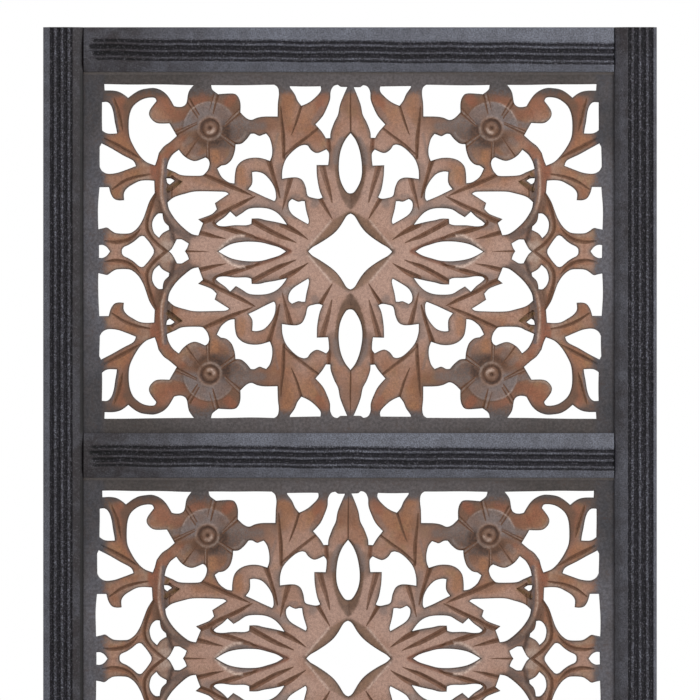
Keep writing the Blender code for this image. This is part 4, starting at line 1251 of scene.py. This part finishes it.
def flute_tree():
    """The node tree and the identifier of each of its inputs."""
    tree = bpy.data.node_groups.new("run_flutes", "GeometryNodeTree")
    for way in ("INPUT", "OUTPUT"):
        tree.interface.new_socket("Member", in_out=way, socket_type="NodeSocketGeometry")
    sockets = {}
    for kind, names in FLUTE_INPUTS.items():
        for name in names:
            sockets[name] = tree.interface.new_socket(name, in_out="INPUT", socket_type=kind).identifier
    given = tree.nodes.new("NodeGroupInput").outputs
    asked = {name: Value(tree, given[name]) for name in sockets}

    def stored(name):
        node = add_node(tree, "GeometryNodeInputNamedAttribute", {"Name": name}, data_type="FLOAT")
        return Value(tree, node.outputs["Attribute"])

    depth, kept_marks = flute_depth(asked, stored("across"), stored("along"))
    offset = add_node(tree, "ShaderNodeCombineXYZ", {"Y": depth * stored("face")}).outputs[0]
    node = add_node(tree, "GeometryNodeSetPosition", {"Geometry": given["Member"], "Offset": offset})
    for name, value in kept_marks.items():
        inputs = {"Geometry": node.outputs[0], "Name": name, "Value": value}
        node = add_node(tree, "GeometryNodeStoreNamedAttribute", inputs, data_type="FLOAT", domain="POINT")
    node = add_node(tree, "GeometryNodeRealizeInstances", {"Geometry": node.outputs[0]})
    inputs = {"Geometry": node.outputs[0], "Material": given["Finish"]}
    node = add_node(tree, "GeometryNodeSetMaterial", inputs)
    feed(tree, tree.nodes.new("NodeGroupOutput"), {0: node.outputs[0]})
    return tree, sockets


flutes_tree, flute_sockets = flute_tree()
print("the flute tree has", len(flutes_tree.nodes), "nodes and", len(flute_sockets), "named inputs")

# %% [markdown]
# ## The two stains
#
# The frame is stained black and rubbed back: the flutes stay nearly black, the flat strips turn a
# cool dark grey, and the crests show lighter where the cloth touched them. On the rails the grey is
# lighter to the right and on the upper strips, a painted sheen. The boards are a thin brown stain over
# pale wood, pinkish in the middle and warmer outwards. Darker brown lies in every cut, with painted
# shade along its bottom and a painted highlight on one side; grey wash lies on the flower and the
# bevels, a dark line of painted shade runs along every sawn edge, and the black of the frame runs in
# from the border. All of it is mixed from noise and from the marks on the points.

# %% The coats of a finish
class Finish:
    """A material whose colour is built up coat by coat."""

    def __init__(self, name, roughness, specular):
        self.material = bpy.data.materials.new(name)
        self.material.use_nodes = True
        self.tree = self.material.node_tree
        self.shader = self.tree.nodes["Principled BSDF"]
        feed(self.tree, self.shader, {"Roughness": roughness, "Specular IOR Level": specular})
        self.place = self.tree.nodes.new("ShaderNodeTexCoord").outputs["Object"]

    def stored(self, name, output):
        """What is stored on the points under a name: a number as "Fac" or a colour as "Color"."""
        return add_node(self.tree, "ShaderNodeAttribute", attribute_name=name).outputs[output]

    def mark(self, name):
        """A stored number that can be reckoned with."""
        return Value(self.tree, self.stored(name, "Fac"))

    def noise(self, pace, detail=2.0, stretch=(1, 1, 1), roughness=0.5):
        """Smooth noise between 0 and 1, mostly near the middle."""
        spot = add_node(self.tree, "ShaderNodeMapping", {"Vector": self.place, "Scale": stretch}).outputs[0]
        inputs = {"Vector": spot, "Scale": pace, "Detail": detail, "Roughness": roughness}
        return Value(self.tree, add_node(self.tree, "ShaderNodeTexNoise", inputs).outputs[0])

    def mix(self, share, first, second, blend="MIX"):
        """The first colour, with a share of the second over it."""
        inputs = {0: share, 6: first, 7: second}
        return add_node(self.tree, "ShaderNodeMix", inputs, data_type="RGBA", blend_type=blend).outputs[2]

    def times(self, colour, factor):
        """The colour, darker or lighter by a factor."""
        grey = add_node(self.tree, "ShaderNodeCombineColor", dict.fromkeys(range(3), factor)).outputs[0]
        return self.mix(1.0, colour, grey, "MULTIPLY")

    def coat(self, share, colour):
        """Lays a colour over what is there."""
        self.colour = self.mix(share, self.colour, colour)

    def done(self, bump, height_mm, **more):
        """Closes the material with its colour, a fine grain and what more the shader takes."""
        inputs = {"Height": bump, "Distance": height_mm / 1000, "Strength": 1.0}
        lift = add_node(self.tree, "ShaderNodeBump", inputs).outputs[0]
        feed(self.tree, self.shader, {"Base Color": self.colour, "Normal": lift, **more})
        return self.material


# %% Black stain of the frame
def black_stain():
    """Nearly black in the flutes and greyer on the strips, in specks that show most on the crests."""
    stain = Finish("black_stain_rubbed", 0.5, 0.3)
    cloud, patch, speck = stain.noise(26, 3), stain.noise(95, 3), stain.noise(1100, 2)
    flake = stain.noise(560, 3, roughness=0.7)
    streak = stain.noise(300, 3, (1, 1, 0.06))
    fluted = stain.mark("fluted").spread(0.3, 1.0)
    flute = stain.mark("flute").spread(0.0, 0.6, 0, 0.97)
    thickness = cloud.spread(0.3, 0.7, -0.1, 0.1) + patch.spread(0.3, 0.7, -0.1, 0.1)
    grey_and_sheen = (stain.mark("grey_and_sheen") + thickness).held()

    # The lighter, bluish end of this mix is, on the rails, a painted sheen.
    stain.colour = stain.mix(grey_and_sheen, seen(38, 31, 35), seen(110, 113, 125))
    stain.coat(flake.spread(0.48, 0.7, 0, 0.3), seen(104, 103, 107))
    on_crests = stain.mix(grey_and_sheen, seen(34, 28, 33), seen(41, 39, 48))
    stain.coat(fluted * flake.spread(0.42, 0.62, 1.0, 0.12), on_crests)
    in_flute = stain.mix(grey_and_sheen, seen(6, 4, 7), seen(27, 25, 34))
    in_flute = stain.mix(flake.spread(0.51, 0.66, 0, 0.6), in_flute, seen(88, 85, 91))
    stain.coat(flute, in_flute)
    stain.coat(stain.mark("joint") * 0.95, seen(14, 9, 9))
    plain, broken = speck.spread(0.28, 0.72, 0.5, 1.52), speck.spread(0.38, 0.62, 0.15, 1.95)
    stain.colour = stain.times(stain.colour, plain + (broken - plain) * fluted)
    return stain.done(speck * 0.6 + streak * 0.4, 0.12, Roughness=flute * 0.35 + 0.5)


frame_finish = black_stain()
print(frame_finish.name, "has", len(frame_finish.node_tree.nodes), "nodes")

# %% [markdown]
# On the boards the coats lie in the order in which a hand would lay them: the thin brown over the whole
# board, the strokes of the brush with their painted shade and highlights, the grey wash, the dark in
# every cut with its painted highlight and shade, the ridges paler from wear and painted highlight, the
# painted shade along each sawn edge, and last the frame's black over the border, with a paler strip
# under each rail, painted light that lifts the lamp's shadow of the rail. The walls of the openings and
# the back are plain brown.

# %% Brown stain of the boards
def brown_stain():
    """A thin brown that is pinkish in the middle and warmer outwards, with all that lies over it."""
    stain = Finish("brown_stain_washed", 0.62, 0.25)
    cloud, other_cloud = stain.noise(30, 3), stain.noise(42, 3, (1, 1.4, 0.8))
    patch, other_patch = stain.noise(110, 3), stain.noise(95, 3, (1.3, 1, 0.8))
    mottle, speck = stain.noise(430, 2), stain.noise(1300, 2)
    outward = (stain.mark("outward") + cloud.spread(0.3, 0.7, -0.35, 0.35)).held()
    stain.colour = stain.mix(outward, seen(179, 144, 128), seen(150, 102, 75))
    stain.coat(other_patch.spread(0.5, 0.72, 0, 0.55) * outward, seen(156, 122, 86))
    stain.coat(other_cloud.spread(0.52, 0.75, 0, 0.45), seen(150, 124, 114))
    stain.coat(stain.mark("margin") * patch.spread(0.35, 0.65, 0.15, 0.85), seen(122, 104, 95))
    stain.coat(stain.mark("shade"), seen(112, 80, 56))

    broken = mottle.spread(0.3, 0.6, 0.7, 1.0)
    stain.coat(stain.mark("cover") * broken, (0, 0, 0, 1))
    stain.colour = stain.mix(broken, stain.colour, stain.stored("stain_and_painted_light", "Color"), "ADD")
    stain.coat(stain.mark("wash") * patch.spread(0.3, 0.6, 0.62, 1.0), seen(126, 113, 110))
    # A cut's lit facet is painted lighter and its bottom darker: painted highlight and painted shade.
    in_cut = stain.mix(stain.mark("lit"), seen(117, 82, 61), seen(132, 92, 70))
    in_cut = stain.mix(stain.mark("deep"), in_cut, seen(66, 44, 34))
    cut = stain.mark("cut") * patch.spread(0.3, 0.6, 0.78, 0.98)
    stain.coat(cut * stain.mark("inside").spread(-0.22, 0.22), in_cut)
    # Paler ridges and rims, and the boss's lit side: part wear, part painted highlight.
    stain.coat(stain.mark("wear_and_highlight") * mottle.spread(0.3, 0.6, 0.45, 1.0), seen(214, 188, 173))
    # Painted shade along every sawn edge.
    stain.coat(stain.mark("edge") * 0.93, seen(54, 43, 37))

    deeper = (stain.mark("corner") + cloud.spread(0.3, 0.7, -0.25, 0.25)).held()
    level = stain.mix(deeper, seen(92, 86, 87), seen(69, 63, 61))
    upright = stain.mix(deeper, seen(96, 94, 100), seen(62, 60, 64))
    in_border = stain.mix(stain.mark("side"), level, upright)
    in_border = stain.mix(other_patch.spread(0.35, 0.7, 0, 0.35), in_border, seen(84, 75, 72))
    in_border = stain.times(in_border, mottle.spread(0.3, 0.7, 0.87, 1.13))
    # A paler strip just under each rail is painted light: it lifts the lamp's shadow of the rail off the
    # border.
    in_border = stain.mix(stain.mark("below_rail").spread(0.9, 2.8, 1, 0), in_border, seen(117, 109, 106))
    rough = patch.spread(0.3, 0.7, -0.1, 0.1) + mottle.spread(0.3, 0.7, -0.12, 0.12)
    stain.coat((stain.mark("border") + rough).spread(0.1, 0.95), in_border)
    stain.coat((1 - stain.mark("front")).held(), seen(92, 66, 50))
    for noise, reach in ((mottle, 0.14), (speck, 0.22)):
        stain.colour = stain.times(stain.colour, noise.spread(0.25, 0.75, 1 - reach, 1 + reach))
    grain = stain.noise(260, 3, (0.08, 1, 1))
    return stain.done(speck * 0.5 + grain * 0.5, 0.11)


board_finish = brown_stain()
print(board_finish.name, "has", len(board_finish.node_tree.nodes), "nodes")

# %% [markdown]
# The flutes are cut and kept: each blank takes the tree as a modifier with its own numbers, the result
# becomes a plain mesh, and the modifier goes. Every piece then wears its finish and rides on a body,
# and the solid it stands for is hidden.

# %% Dress the frame
for number, (node, (piece, flutes)) in enumerate(members.items()):
    modifier = piece.modifiers.new("flutes", "NODES")
    modifier.node_group = flutes_tree
    settings = {name: value / 1000 for name, value in flutes.items()}
    settings["Length"] = max(piece.dimensions.x, piece.dimensions.z)
    settings.update({"Flutes": FLUTES, "Seed": 3 + number * 5, "Finish": frame_finish})
    for name, value in settings.items():
        modifier[flute_sockets[name]] = value
    bpy.context.view_layer.update()
    evaluated = piece.evaluated_get(bpy.context.evaluated_depsgraph_get())
    piece.data = bpy.data.meshes.new_from_object(evaluated)
    piece.modifiers.clear()
    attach(piece, "root")
    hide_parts(node)
    print(piece.name, "stands for", node, "with", len(piece.data.polygons), "faces")

# %% Dress the boards
for board, bay in zip(boards, ("upper", "lower")):
    board.data.materials.append(board_finish)
    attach(board, "root")
    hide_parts("carved_board_" + bay)
    print(board.name, "stands for", "carved_board_" + bay)

# %% [markdown]
# ## Studio
#
# A white room lights the panel evenly, as in a catalogue picture, and shows pure white through the
# piercing. One large lamp from the upper right in front gives the cuts their shade and puts a cool
# sheen on the upper slopes of the rails, over the sheen painted into their stain.

# %% Room, floor and lamp
LAMP_PLACE, LAMP_TARGET = Vector((1.3, -1.9, 1.5)), Vector((0, 0, 0.05))
FLOOR_REACH = 1.5
FLOOR_BELOW = 0.0005

world = bpy.data.worlds.new("white_room")
world.use_nodes = True
feed(world.node_tree, world.node_tree.nodes["Background"], {"Color": (1, 1, 1, 1), "Strength": 1.0})
bpy.context.scene.world = world
bpy.context.scene.view_settings.view_transform = "Standard"

light = bpy.data.lights.new("key", "AREA")
light.shape = "DISK"
light.size, light.energy, light.color = 0.9, 42, (0.96, 0.98, 1.0)
key = shown("key", light)
key.location = LAMP_PLACE
key.rotation_euler = (LAMP_TARGET - LAMP_PLACE).to_track_quat("-Z", "Y").to_euler()

floor_mesh = bpy.data.meshes.new("floor")
corners = [(side * FLOOR_REACH, deep * FLOOR_REACH, cad_box[0].z - FLOOR_BELOW)
           for side, deep in ((-1, -1), (1, -1), (1, 1), (-1, 1))]
floor_mesh.from_pydata(corners, [], [(0, 1, 2, 3)])
floor = shown("floor", floor_mesh)
pale = bpy.data.materials.new("pale_floor")
pale.use_nodes = True
pale_shader = pale.node_tree.nodes["Principled BSDF"]
feed(pale.node_tree, pale_shader, {"Base Color": (0.8, 0.8, 0.79, 1), "Roughness": 0.8})
floor_mesh.materials.append(pale)
print("the lamp is", round((LAMP_TARGET - LAMP_PLACE).length, 2), "m away")
